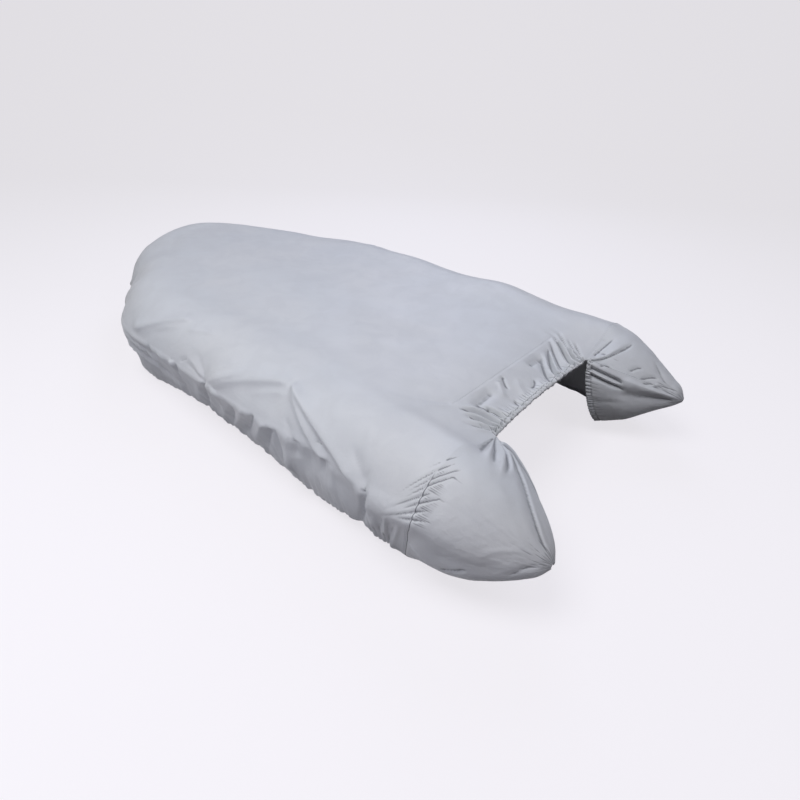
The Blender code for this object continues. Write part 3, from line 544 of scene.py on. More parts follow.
class PlanPath:
    """The axis of the port tube in plan: straight runs joined by arcs, stern to stem."""

    def __init__(self):
        corners = np.array([(0.0, TUBE_Y), (SHOULDER_X, TUBE_Y), (BOW_X, BOW_Y), (BOW_X, 0.0)])
        points = [corners[0]]
        for k, bend in ((1, SHOULDER_BEND), (2, BOW_BEND)):
            back, ahead = unit(corners[k - 1] - corners[k]), unit(corners[k + 1] - corners[k])
            turn = np.pi - np.arccos(back @ ahead)
            start = corners[k] + back * bend * np.tan(turn / 2)
            centre = corners[k] + unit(back + ahead) * bend / np.cos(turn / 2)
            self.run_to(points, start)
            first = np.arctan2(start[1] - centre[1], start[0] - centre[0])
            for angle in first - np.linspace(0.0, turn, int(bend * turn / PLAN_STEP) + 2)[1:]:
                points.append(centre + bend * np.array([np.cos(angle), np.sin(angle)]))
        self.run_to(points, corners[3])
        self.points = np.array(points)
        lengths = np.linalg.norm(np.diff(self.points, axis=0), axis=1)
        self.station = np.concatenate([[0.0], np.cumsum(lengths)])
        self.end = self.station[-1]
        ahead = unit(np.gradient(self.points, axis=0))
        self.outward = np.stack([-ahead[:, 1], ahead[:, 0]], axis=-1)

    @staticmethod
    def run_to(points, goal):
        start = points[-1]
        count = max(2, int(np.linalg.norm(goal - start) / PLAN_STEP))
        points.extend(start + (goal - start) * i / count for i in range(1, count + 1))

    def at(self, station):
        """Way from the nearer stern seam, side, place in plan and the way outward."""
        way = np.minimum(station, 2 * self.end - station)
        side = np.where(station <= self.end, 1.0, -1.0)
        x, y, nx, ny = (np.interp(way, self.station, line)
                        for line in (*self.points.T, *self.outward.T))
        size = np.hypot(nx, ny)
        return way, side, x, y, nx / size, ny / size


PATH = PlanPath()
TOTAL = 2 * PATH.end


def bowward(station):
    x = PATH.at(station)[2]
    return np.clip((x - RISE_X) / (BOW_X - RISE_X), 0.0, 1.0) ** 2


def wave(seed, pitch, length, jitter=0.45, gathered=False):
    """An uneven wave along a length: it returns a function of the place, from -1 to 1.

    Gathered cloth has round tops and sharp valleys."""
    rng = np.random.default_rng(seed)
    steps = pitch * (1.0 + jitter * rng.uniform(-1.0, 1.0, int(length / pitch * 1.8) + 4))
    knots = np.concatenate([[0.0], np.cumsum(steps)])
    size = rng.uniform(0.45, 1.0, len(knots))

    def value(place):
        turn = np.interp(place, knots, np.arange(len(knots)))
        if gathered:
            return ((2 * np.abs(np.sin(np.pi * turn)) ** 0.7 - 1)
                    * np.interp(place, knots, size))
        return np.sin(2 * np.pi * turn) * np.interp(place, knots, size)
    return value


HEM_WAVE = wave(11, SCALLOP, TOTAL)
HEM_RIPPLE = wave(12, RIPPLE, TOTAL, 0.6)
EDGE_WAVE = wave(22, GATHER, 2.4, 0.45, True)
EDGE_SLOW = wave(23, 0.034, 2.4)
CASING_WAVES = {1.0: wave(24, MOUTH_GATHER, 1.6, 0.8, True),
                -1.0: wave(25, MOUTH_GATHER, 1.6, 0.8, True)}


def slow_noise(kind, x, y):
    """Smooth unevenness of the cloth over places (x, y)."""
    seed, size, octaves, height = kind
    rng = np.random.default_rng(seed)
    total = np.zeros_like(x)
    for octave in range(octaves):
        for _ in range(7):
            angle, phase = rng.uniform(0, 2 * np.pi, 2)
            pitch = size / 2**octave * rng.uniform(0.7, 1.5)
            total += np.sin((x * np.cos(angle) + y * np.sin(angle)) * 2 * np.pi / pitch
                            + phase) / 2**octave
    return height * total / 7.0


# ---- The drape ------------------------------------------------------------------------------
def hem_at(station):
    """Depth and outboard place of the hem, with its scallops and the places it lifts."""
    ends = smoothstep(np.minimum(station, TOTAL - station) / 0.05)
    ripple = RIPPLE_RISE * smoothstep((PATH.end - 0.5 - station) / 0.3)       # port alone
    drop = read_table(HEMS, "drop", station) - ends * (
        SCALLOP_RISE * HEM_WAVE(station) + ripple * HEM_RIPPLE(station))
    out = read_table(HEMS, "out", station) + ends * (
        SCALLOP_OUT * HEM_WAVE(station + 0.3 * SCALLOP)
        + ripple * HEM_RIPPLE(station + 0.3 * RIPPLE))
    for slot in SLOTS:
        drop = drop - slot.rise * bell(station - slot.station, slot.length, 4)
    return drop, out


def tube_section(station, q):
    """Outward and upward offsets from the tube axis; q is 0 at the crest, 1 at the hem."""
    drop, hem_out = hem_at(station)
    knuckle_angle = np.arctan2(KNUCKLE_OUT, KNUCKLE_UP)
    hem_angle = np.arctan2(hem_out, -drop)
    angle = np.clip(q, 0.0, 1.0) * hem_angle
    run_out, run_up = hem_out - KNUCKLE_OUT, -drop - KNUCKLE_UP
    run = np.hypot(run_out, run_up)
    face_out, face_up = -run_up / run, run_out / run
    reach = KNUCKLE_OUT * face_out + KNUCKLE_UP * face_up
    lean = np.maximum(np.cos(angle - np.arctan2(face_out, face_up)), LEAST_LEAN)
    round_by = np.radians(KNUCKLE_ROUND + KNUCKLE_STERN * bell(station, KNUCKLE_STERN_END, 4)
                          + KNUCKLE_SIDE * bell(station - SIDE_PLACE, SIDE_LENGTH, 4))
    blend = smoothstep((angle - knuckle_angle + round_by) / (2 * round_by))
    radius = TUBE_RADIUS + BOW_SWELL * bowward(station)
    radius = radius * (1 - blend) + reach / lean * blend
    out, up = radius * np.sin(angle), radius * np.cos(angle)
    heading = np.arctan2(run_up, run_out) % (2 * np.pi)
    way = np.clip(q - 1.0, 0.0, 1.0) * HEM_LIP
    last = np.pi - np.radians(HEM_LIP_RISE)
    now = np.maximum(heading - way / HEM_ROUND, last)
    straight = np.maximum(way - HEM_ROUND * (heading - last), 0.0)
    out = out + HEM_ROUND * (np.sin(heading) - np.sin(now)) + straight * np.cos(last)
    up = up + HEM_ROUND * (np.cos(now) - np.cos(heading)) + straight * np.sin(last)
    return out, up


def smooth_form(station, q):
    """The cover without its folds: q is -1 on the centreline, 0 crest, 1 hem, 2 cut edge."""
    way, side, x, y, nx, ny = PATH.at(station)
    lift = BOW_RISE * bowward(station)
    out, up = tube_section(station, np.maximum(q, 0.0))
    share = np.clip(-q, 0.0, 1.0)
    fan = np.clip((way - SPINE_FAN_X) / (PATH.end - SPINE_FAN_X), 0.0, 1.0) ** 2
    spine_x = way - (PATH.end - SPINE_END) * fan
    fall_share = FALL_STERN + (1.0 - FALL_STERN) * smoothstep((way - FLAP_SEAM_X) / FALL_CHANGE)
    fall = 1.0 - (1.0 - np.clip(share / fall_share, 0.0, 1.0)) ** 2
    fall = fall * np.sqrt(smoothstep(share / CREST_ROUND))
    return np.stack([
        np.where(q > 0, x + nx * out, x + (spine_x - x) * share),
        np.where(q > 0, y + ny * out, y * (1.0 - share)) * side,
        up - read_table(SAGS, "depth", way) * fall + lift], axis=-1)


def normals_of(points):
    across = np.cross(np.gradient(points, axis=0), np.gradient(points, axis=1))
    across[..., 2] += TINY
    return unit(across)


# ---- Folds ----------------------------------------------------------------------------------
def crease_height(creases, x, y):
    """Height of some creases at places (x, y): tent-like across, with softened tops."""
    height = np.zeros_like(x)
    for c in creases:
        x0, y0, x1, y1, bow, w0, w1, peak, fade0, fade1, skew = c
        if x1 < x0:                          # they all run the same way
            x0, y0, x1, y1, w0, w1, fade0, fade1 = x1, y1, x0, y0, w1, w0, fade1, fade0
        length = np.hypot(x1 - x0, y1 - y0)
        ax, ay = (x1 - x0) / length, (y1 - y0) / length
        t = ((x - x0) * ax + (y - y0) * ay) / length
        off = -(x - x0) * ay + (y - y0) * ax - bow * 4.0 * t * (1.0 - t)
        inside = np.clip(t, 0.0, 1.0)
        beyond = np.abs(t - inside) * length / (CREASE_TIP * np.where(t > 0.5, w1, w0))
        width = (w0 + (w1 - w0) * inside) * np.where(off > 0, skew, 1.0)
        far = np.sqrt((off / width) ** 2 + beyond ** 2 + CREASE_SOFT ** 2) - CREASE_SOFT
        rest = 1.0 - CREASE_START
        height += (peak * np.exp(-CREASE_FALL * far ** CREASE_POWER)
                   * smoothstep(CREASE_START + t / fade0 * rest)
                   * smoothstep(CREASE_START + (1.0 - t) / fade1 * rest))
    return height


def pucker_height(puckers, girth, ahead):
    """Height of the ring seam's puckers, a distance ahead of the seam, or aft of it."""
    height = np.zeros_like(girth)
    for p in puckers:
        place = p.girth + p.lean * np.clip(ahead, LEAN_LIMIT, None)
        height += (p.height * bell(girth - place, p.width)
                   * bell(ahead, np.where(ahead > 0, p.ahead, p.aft), 1.5))
    return height


def groove(distance, width, depth):
    """What a sewn seam leaves in the cloth."""
    return -depth * bell(distance, width)


def ring_shows(side, girth):
    """The port ring seam only shows below the shoulder of its tube."""
    start, length = PORT_RING_SHOWS
    far_start, far_length, share = STARBOARD_RING_SHOWS
    return np.where(side > 0, smoothstep((girth - start) / length),
                    share * smoothstep((girth - far_start) / far_length))


def ring_groove(side, girth, distance):
    return ring_shows(side, girth) * groove(distance, *RING_GROOVE)


def ring_lean(girth):
    """How far ahead the port ring seam runs as it nears the hem."""
    start, middle, length = LEAN_GIRTHS
    return RING_LEAN * (girth - middle) * smoothstep((girth - start) / length)


def deck_relief(x, y):
    """Creases and the flap's seam, in plan: the main panel and the flap share them."""
    sewn = smoothstep((SEAM_HALF - np.abs(y)) / 0.02)
    return (crease_height(DECK_CREASES + STERN_CREASES, x, y)
            + sewn * groove(x - FLAP_SEAM_X, *FLAP_GROOVE))


def hollows(points, outward, bends):
    """How far each place of a grid is a narrow hollow, 0 to 1: the material paints shade there."""
    bend = np.zeros(points.shape[:2])
    for turn in (False, True):
        place, normal, total = (grid.swapaxes(0, 1) if turn else grid
                                for grid in (points, outward, bend))
        way = np.diff(place, axis=0)
        step = np.maximum(np.linalg.norm(way, axis=-1, keepdims=True), TINY)
        turned = 2 * np.diff(way / step, axis=0) / (step[1:] + step[:-1])
        total[1:-1] += (turned * normal[1:-1]).sum(axis=-1)
    return smoothstep((bend - bends[0]) / (bends[1] - bends[0]))


# ---- The sheets -----------------------------------------------------------------------------
# A grid of points on the cloth's outside, the way in, its flat place in metres and whether it
# is on a side, and how far it is a hollow, where the material paints shade.
Sheet = namedtuple("Sheet", "points inward flat shade", defaults=(None,) * 3)


def turned_round(sheet):
    return Sheet(*(grid[::-1] for grid in sheet))


def run(start, end, step):
    return np.linspace(start, end, int(round((end - start) / step)) + 1)[:-1]


def main_stations():
    """Stations of the grid, and for each the one of the port half at the same way."""
    aft = np.concatenate([run(0.0, SEAM_LENGTH, SEAM_STEP),
                          run(SEAM_LENGTH, FLAP_SEAM_X, NEAR_STEP)])
    side = run(FLAP_SEAM_X, NEAR_END, (NEAR_END - FLAP_SEAM_X)
               / (FAR_SHARE * round((NEAR_END - FLAP_SEAM_X) / NEAR_STEP / FAR_SHARE)))
    bow = run(NEAR_END, PATH.end, BOW_STEP)
    half = np.concatenate([aft, side, bow, [PATH.end]])
    pick = np.concatenate([
        np.arange(len(aft)), len(aft) + np.arange(0, len(side), FAR_SHARE),
        len(aft) + len(side) + np.arange(len(bow))])
    stations = np.concatenate([half, (TOTAL - half[pick])[::-1]])
    mate = np.concatenate([np.arange(len(half)), pick[::-1]])
    return stations, mate, len(aft)


def main_rows():
    """Row parameter q of the grid from the centreline to the cut edge of the hem's lip."""
    parts = []
    start = -1.0
    for end, count in DECK_ROWS + SIDE_ROWS:
        parts.append(run(start, end, (end - start) / count))
        start = end
    return np.concatenate([*parts, np.linspace(1.0, 2.0, LIP_ROWS + 1)])


def side_relief(s, q, girth):
    """Folds of the sides and the bow, and the puckers of the ring seams."""
    height = crease_height(CREASES, s, girth)
    for b in BULGES:
        height += b.height * bell(s - b.station, b.length) * bell(girth - b.girth, b.width)
    for p in SIDE_PLEATS:
        middle = p.station + p.lean * (girth - p.top)
        height += p.height * bell(s - middle, p.width) * smoothstep((girth - p.top) / 0.06)
    height *= smoothstep((q + FLAP_SPAN) / FLAP_SPAN)
    way = np.minimum(s, TOTAL - s)
    height += pucker_height(PORT_PUCKERS, girth, s)
    height += pucker_height(STARBOARD_PUCKERS, girth, TOTAL - s)
    height += ring_groove(PATH.end - s, girth, way)
    height *= 1.0 - HEM_HOLD * smoothstep((q - HOLD_FROM) / (1.0 - HOLD_FROM))
    off_ring = smoothstep(way / 0.03)
    height += slow_noise(UNEVEN_MAIN, s, girth) * off_ring * smoothstep((q + 0.9) / 0.2)
    lower = smoothstep((girth - 0.26) / 0.06) * off_ring
    return height + slow_noise(UNEVEN_SIDE, s * 1.6, girth * 0.6) * lower


def main_sheet(stations, rows):
    """Deck, sides and bow as one grid of points with its folds."""
    s, q = np.meshgrid(stations, rows, indexing="ij")
    points = smooth_form(s, q)
    steps = np.linalg.norm(np.diff(points, axis=1), axis=-1)
    girth = np.concatenate([np.zeros((len(stations), 1)), np.cumsum(steps, axis=1)], axis=1)
    girth -= girth[:, CREST_ROW:CREST_ROW + 1]
    points = points + normals_of(points) * side_relief(s, q, girth)[..., None]
    points[..., 0] += ring_lean(girth) * bell(s, LEAN_AHEAD) * (s < PATH.end)
    x, y = points[..., 0].copy(), points[..., 1].copy()
    away = smoothstep((x - FLAP_SEAM_X) / SWELL_START)
    swell = np.zeros_like(x)
    for w in SWELLS:
        turn = np.radians(w.turn)
        ahead = (x - w.x) * np.cos(turn) + (y - w.y) * np.sin(turn)
        off = (y - w.y) * np.cos(turn) - (x - w.x) * np.sin(turn)
        swell += w.height * bell(ahead, w.length) * bell(off, w.width)
    points[..., 2] += swell * (1.0 - smoothstep(q / SWELL_FADE)) * away
    fine = deck_relief(x, y) + slow_noise(UNEVEN_DECK, x, y) * away
    points[..., 2] += fine * smoothstep((0.10 - q) / 0.3)
    inward = -normals_of(points)
    inward[:, 0] = (0.0, 0.0, -1.0)
    on_side = smoothstep((q + 0.04) / 0.08)
    # painted shade: how far each place is a narrow hollow, darkened in the material
    shade = hollows(points, -inward, DEEP_BENDS) * smoothstep((0.97 - q) / 0.03)
    shade[:2] = shade[-2:] = 0.0
    return Sheet(points, inward, np.stack([s, girth, on_side], axis=-1), shade)


def cone_sheet(side, ring, under, puckers, rows, folds):
    """The cone behind one tube, from the main panel's stern edge; its first row is sewn in.

    "ring" is the main panel's edge from the flap's corner out, and "under" the line that far
    under it where the cone's own edge lies.
    """
    out, up = np.abs(ring.points[:, 1]) - TUBE_Y, ring.points[:, 2]
    corner_angle, corner_radius = np.arctan2(out[0], up[0]), np.hypot(out[0], up[0])
    hem_angle = -np.radians(INNER_HEM_ANGLE)
    down = np.linspace(1.0, 0.0, INNER_ROWS + 1)[:-1]
    angle = corner_angle + (hem_angle - corner_angle) * down
    girth = np.concatenate([ring.flat[0, 1] + (angle - corner_angle) * TUBE_RADIUS,
                            ring.flat[:, 1]])
    radius = np.concatenate([
        TUBE_RADIUS + (corner_radius - TUBE_RADIUS) * bell(down, CORNER_EASE),
        np.hypot(out, up)])
    angle = np.concatenate([angle, np.arctan2(out, up)])
    angle = np.where(angle < hem_angle - 0.01, angle + 2 * np.pi, angle)
    down = np.concatenate([down, np.zeros(len(out))])
    k = np.linspace(0.0, 1.0, CONE_RINGS + 1)
    share, angle = np.meshgrid(k * (CONE_FRONT + (1.0 - CONE_FRONT) * k), angle, indexing="ij")
    girths, down = np.broadcast_to(girth, share.shape), np.broadcast_to(down, share.shape)
    aft, size = read_table(rows, "aft", share), read_table(rows, "radius", share)
    # the ring's own folds and knuckle soften at once, its wider shape further aft
    near = bell(girth[:, None] - girth[None], RING_BLUR) * np.gradient(girth)
    softened = (near @ radius) / near.sum(axis=1)
    softened[:INNER_ROWS] = radius[:INNER_ROWS]
    sharp = 1.0 - smoothstep(share / RING_SHARP)
    wide = 1.0 - smoothstep(share / RING_FADE)
    radius = softened + (radius - softened) * sharp
    shape = (TUBE_RADIUS + (radius - TUBE_RADIUS) * wide) * size / TUBE_RADIUS
    for column, middle, spread in CONE_SWELLS:
        shape += read_table(rows, column, share) * bell(np.degrees(angle) - middle, spread)
    shape += (crease_height(folds, aft, girths) * smoothstep(share / 0.03)
              * smoothstep((1.02 - share) / 0.25))
    shape += slow_noise(UNEVEN_CONES[side], aft * 1.3, girths) * smoothstep(aft / 0.04)
    # the ring has the puckers and the groove: what the fading ring still brings is taken off
    fade = sharp * wide
    shape += (pucker_height(puckers, girths, -aft - TINY)
              - pucker_height(puckers, girths, np.zeros_like(aft)) * fade) * (down <= 0)
    shape += np.where(down > 0, 0.0, ring_groove(side, girths, aft)
                      - ring_groove(side, girths, 0.0) * fade
                      - 0.5 * TUCK_DEPTH * ring_shows(side, girths) * bell(aft, TUCK_REACH))
    # the casing along the mouth's free edge, drawn in by its elastic
    mouth = smoothstep(down / 0.08)
    casing = mouth * bell(aft, CASING, 4)
    gathers = CASING_WAVES[side](girths + 0.6)
    shape += casing * MOUTH_HEIGHT * gathers + mouth * (
        MOUTH_BEYOND * gathers * bell(aft, 2 * CASING) + groove(aft - CASING, *CASING_GROOVE))
    x = (-aft - INNER_EDGE_SLANT * down * wide
         + (side > 0) * ring_lean(girths) * bell(aft, LEAN_AFT))
    y = TUBE_Y + read_table(rows, "out", share) + shape * np.sin(angle)
    z = read_table(rows, "up", share) + shape * np.cos(angle)
    points = np.stack([x, side * y, z], axis=-1)
    inward = normals_of(points) * side
    first = points[0] - (MOUTH_LIP, 0.0, 0.0) + MOUTH_LIP_SINK * inward[0]
    first[INNER_ROWS:] = under.points
    points = np.concatenate([first[None], points])
    inward = normals_of(points) * side
    inward[0] = inward[1]
    # painted shade in the hollows of the folds, and between the casing's gathers
    shade = hollows(points, -inward, HOLLOW_BENDS)
    dark = CONE_GATHER_SHADE * casing * smoothstep((-gathers - 0.1) / 0.6)
    shade[1:] = np.maximum(shade[1:], dark)
    shade[:2] = 0.0
    flat = np.stack([np.concatenate([np.full_like(aft[:1], -TUCK), aft]),
                     np.concatenate([girths[:1], girths]), np.ones(points.shape[:2])], axis=-1)
    return Sheet(points, inward, flat, shade)


def flap_sheet(seam, left, right):
    """The strip over the transom: a patch between its seam and its gathered free edge.

    "seam" runs from starboard to port, "left" (starboard) and "right" from the seam aft.
    """
    a, b = np.meshgrid(np.linspace(0.0, 1.0, FLAP_ROWS + 1) ** FLAP_CLOSE,
                       np.linspace(1.0, -1.0, FLAP_COLUMNS + 1), indexing="ij")
    lines = [along(b[0], np.linspace(-1.0, 1.0, len(seam)), seam)]
    lines += [along(a[:, 0], np.linspace(0.0, 1.0, len(line)), line) for line in (left, right)]
    exact = [line.copy() for line in lines]
    for line in lines:                       # their own relief comes back with the flap's,
        line[..., 2] -= deck_relief(line[..., 0], line[..., 1])
        place = np.linspace(-1.0, 1.0, len(line))
        for k in range(3):                   # and the main panel's facets aren't carried over
            line[:, k] = np.polynomial.Chebyshev.fit(place, line[:, k], LINE_DEGREE)(place)
    top, left, right = lines
    am, mm = a[..., None], (b[..., None] + 1.0) / 2.0
    points = (top[None] * (1 - am) + left[:, None] * (1 - mm) + right[:, None] * mm
              - (top[-1] * (1 - mm) + top[0] * mm) * (1 - am))
    points[..., 0] += EDGE_DRAW * (1.0 - b ** 2) * a ** 2
    inside = smoothstep((1.0 - np.abs(b)) / FLAP_SIDE)
    height = deck_relief(points[..., 0], points[..., 1])
    height -= FLAP_BELLY * np.sin(np.pi * a ** BELLY_POWER) * inside
    to_edge = (1.0 - a) * FLAP_SEAM_X
    half = abs(seam[-1, 1])
    place = b * half + 1.0
    gather = EDGE_WAVE(place)
    ends = smoothstep((1.0 - np.abs(b)) / 0.03)
    height += ends * (GATHER_HEIGHT * gather * bell(to_edge, 1.5 * CASING)
                      + SLOW_GATHER * EDGE_SLOW(place) * bell(to_edge, 4.0 * CASING)
                      + groove(to_edge - CASING, *CASING_GROOVE))
    height += slow_noise(UNEVEN_FLAP, points[..., 0], points[..., 1]) * inside
    points[..., 2] += height
    points[..., 0] += EDGE_FLARE * EDGE_WAVE(place + FLARE_LAG) * bell(to_edge, FLARE_REACH) * ends
    points[0] = exact[0]
    points[:, 0], points[:, -1] = exact[2], exact[1]
    flat = np.stack([a * FLAP_SEAM_X, b * half, np.zeros_like(a)], axis=-1)
    # the cloth that runs on under the main panel, and the roll of the free edge
    points = np.concatenate([points[:1] + (TUCK, 0.0, -FLAP_SINK), points,
                             *[points[-1:] + (x, 0.0, z) for x, z in EDGE_ROLL]])
    rolls = len(EDGE_ROLL)
    flat = np.concatenate([flat[:1], flat, *[flat[-1:] + (EDGE_STEP * n, 0.0, 0.0)
                                             for n in range(1, rolls + 1)]])
    points = np.concatenate([points[:, :1] + (0.0, TUCK, -FLAP_SINK), points,
                             points[:, -1:] + (0.0, -TUCK, -FLAP_SINK)], axis=1)
    flat = np.concatenate([flat[:, :1], flat, flat[:, -1:]], axis=1)
    normal = normals_of(points)
    # painted shade in the hollows of the folds, and between the free edge's gathers
    shade = hollows(points, normal, HOLLOW_BENDS)
    dark = ends * smoothstep((-gather - 0.05) / 0.5) * bell(to_edge, 1.1 * CASING)
    shade[1:-rolls, 1:-1] = np.maximum(shade[1:-rolls, 1:-1], FLAP_GATHER_SHADE * dark)
    shade[:2] = shade[-rolls:] = 0.0
    shade[:, :2] = shade[:, -2:] = 0.0
    return Sheet(points, -normal, flat, shade)


# ---- Meshes ---------------------------------------------------------------------------------
def show(name, data):
    thing = bpy.data.objects.new(name, data)
    bpy.context.scene.collection.objects.link(thing)
    return thing


def add_piece(name, mesh, material, node=None):
    mesh.materials.append(material)
    piece = show(name, mesh)
    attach(piece, "root")
    if node:
        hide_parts(node)
    return piece


def build_piece(name, sheet, faces, node, material):
    """Closes a grid's faces into one thin sheet: outside, inside and a rim round its edges."""
    used = np.unique(np.concatenate([np.asarray(face) for face in faces]))
    count = len(used)
    renumber = np.zeros(sheet.shade.size, int)
    renumber[used] = np.arange(count)
    faces = [tuple(renumber[v] for v in face) for face in faces]
    outside = sheet.points.reshape(-1, 3)[used]
    inside = outside + CLOTH * sheet.inward.reshape(-1, 3)[used]
    edges = {(face[k - 1], face[k]) for face in faces for k in range(len(face))}
    rim = [(b, a, a + count, b + count) for a, b in sorted(edges) if (b, a) not in edges]
    lining = [tuple(v + count for v in reversed(face)) for face in faces]
    mesh = bpy.data.meshes.new(name)
    mesh.from_pydata((np.concatenate([outside, inside]) - ORIGIN).tolist(), [],
                     [tuple(map(int, face)) for face in faces + lining + rim])
    for title, kind, key, grid in (("cloth", "FLOAT_VECTOR", "vector", sheet.flat),
                                   ("shade", "FLOAT", "value", sheet.shade)):
        values = grid.reshape(sheet.shade.size, -1)[used]
        attribute = mesh.attributes.new(title, kind, "POINT")
        attribute.data.foreach_set(key, np.tile(values, (2, 1)).astype(np.float32).ravel())
    smooth = np.ones(len(mesh.polygons), bool)
    smooth[-len(rim):] = False               # the cut edges stay crisp
    mesh.polygons.foreach_set("use_smooth", smooth)
    ends = np.empty(2 * len(mesh.edges), np.int32)
    mesh.edges.foreach_get("vertices", ends)
    ends = np.sort(ends.reshape(-1, 2), axis=1).astype(np.int64)
    cut = np.sort(np.array([face[:2] for face in rim] + [face[2:] for face in rim]), axis=1)
    key = (4 * count, 1)                     # one number for each pair of corners
    mesh.edges.foreach_set("use_edge_sharp", np.isin(ends @ key, cut @ key))
    return add_piece(name, mesh, material, node)


def grid_faces(sheet):
    index = np.arange(sheet.shade.size).reshape(sheet.shade.shape)
    return np.stack([index[:-1, :-1], index[1:, :-1], index[1:, 1:], index[:-1, 1:]],
                    axis=-1).reshape(-1, 4).tolist()


def main_faces(sheet, mate, seam):
    """The main panel's faces: the notch for the flap is left out, the middle line closed."""
    index = np.arange(sheet.shade.size).reshape(sheet.shade.shape)
    index[:, 0] = index[mate, 0]
    faces = []
    for i in range(len(index) - 1):
        for j in range(0 if seam <= i < len(index) - 1 - seam else CORNER_ROW,
                       len(index[0]) - 1):
            face = [index[i, j], index[i + 1, j], index[i + 1, j + 1], index[i, j + 1]]
            if j == 0 and mate[i] > mate[i + 1]:       # the starboard half is cut coarser
                face[1:1] = [index[k, 0] for k in range(mate[i] - 1, mate[i + 1], -1)]
            faces.append(face)
    return faces


# ---- Sewing ---------------------------------------------------------------------------------
def at_places(sheet, i, j):
    """Points and normals of a sheet at fractional grid places."""
    i, j = np.broadcast_arrays(np.asarray(i, float), np.asarray(j, float))
    i0 = np.clip(i.astype(int), 0, sheet.points.shape[0] - 2)
    j0 = np.clip(j.astype(int), 0, sheet.points.shape[1] - 2)
    u, v = (i - i0)[:, None], (j - j0)[:, None]

    def mix(grid):
        return (grid[i0, j0] * (1 - u) * (1 - v) + grid[i0 + 1, j0] * u * (1 - v)
                + grid[i0, j0 + 1] * (1 - u) * v + grid[i0 + 1, j0 + 1] * u * v)
    return mix(sheet.points), unit(-mix(sheet.inward))


def stitch_line(points, normals):
    """Corners and faces of the stitches along a line on the cloth."""
    length = np.concatenate([[0.0], np.cumsum(np.linalg.norm(np.diff(points, axis=0), axis=1))])
    starts = np.arange(STITCH_GAP, length[-1] - STITCH, STITCH + STITCH_GAP)
    place, full, lift = np.array(STITCH_SECTIONS).T
    places = starts[:, None] + STITCH * place
    spot, up = along(places, length, points), along(places, length, normals)
    wide = unit(np.cross(up, unit(spot[:, -1] - spot[:, 0])[:, None]))
    wide, lift = wide * full[:, None] * STITCH_WIDE, up * lift[:, None] * STITCH_HIGH
    ring = [spot - wide / 2 - up * STITCH_SUNK, spot - wide / 4 + lift,
            spot + wide / 4 + lift, spot + wide / 2 - up * STITCH_SUNK]
    corners = np.stack(ring, axis=2).reshape(-1, 3)          # stitch, section, corner
    faces = []
    for base in range(0, len(corners), 16):
        for at in (base, base + 4, base + 8):
            for k, m in ((0, 1), (1, 2), (2, 3), (3, 0)):
                faces.append((at + k, at + m, at + 4 + m, at + 4 + k))
        faces.append((base + 3, base + 2, base + 1, base))
        faces.append((base + 12, base + 13, base + 14, base + 15))
    return corners, faces


def sew(name, lines, material):
    """One object of all the stitches along some lines."""
    corners, faces = np.empty((0, 3)), []
    for points, normals in lines:
        some, their_faces = stitch_line(points, normals)
        faces += [tuple(v + len(corners) for v in face) for face in their_faces]
        corners = np.concatenate([corners, some])
    mesh = bpy.data.meshes.new(name)
    mesh.from_pydata((corners - ORIGIN).tolist(), [], faces)
    mesh.shade_smooth()
    return add_piece(name, mesh, material)


# ---- Materials ------------------------------------------------------------------------------
class Nodes:
    """Short names for building the nodes of their owner, a material or the world."""

    def __init__(self, name, kind="materials", shader="Principled BSDF", **settings):
        self.owner = getattr(bpy.data, kind).new(name)
        self.owner.use_nodes = True
        self.tree = self.owner.node_tree
        self.shader = self.tree.nodes[shader]
        self.set(self.shader, settings)

    def set(self, node, inputs):
        for key, value in inputs.items():
            key = key.replace("_", " ") if isinstance(key, str) else key
            if isinstance(value, bpy.types.NodeSocket):
                self.tree.links.new(value, node.inputs[key])
            else:
                node.inputs[key].default_value = value

    def add(self, kind, inputs=(), **settings):
        node = self.tree.nodes.new("ShaderNode" + kind)
        for key, value in settings.items():
            setattr(node, key, value)
        self.set(node, dict(inputs))
        return node

    def place(self):
        return self.add("TexCoord").outputs["Object"]

    def math(self, operation, a, b=0.0, c=0.0):
        return self.add("Math", {0: a, 1: b, 2: c}, operation=operation).outputs[0]

    def times(self, a, b):
        return self.math("MULTIPLY", a, b)

    def noise(self, vector, scale, detail=2.0, distortion=0.0):
        return self.add("TexNoise", {"Vector": vector, "Scale": scale, "Detail": detail,
                                     "Distortion": distortion}).outputs[0]

    def ramp(self, value, low, high, to_low=0.0, to_high=1.0):
        return self.add("MapRange", {0: value, 1: low, 2: high, 3: to_low, 4: to_high},
                        interpolation_type="SMOOTHSTEP").outputs[0]

    def mix(self, factor, a, b):
        return self.add("Mix", {0: factor, 6: a, 7: b}, data_type="RGBA").outputs[2]

    def bump(self, *layers):
        """Layers of (height, distance), each on the ones before it."""
        below = {}
        for height, distance in layers:
            node = self.add("Bump", {"Height": height, "Strength": 1.0, "Distance": distance,
                                     **below})
            below = {"Normal": node.outputs[0]}
        self.set(self.shader, below)


def weave(n, across, along_it):
    """Height of a plain weave of flat yarns, 0 to 1."""
    u, v = (n.math("SINE", n.times(way, YARNS * 2 * np.pi)) for way in (across, along_it))
    return n.math("MULTIPLY_ADD", n.times(u, v), 0.5, 0.5)


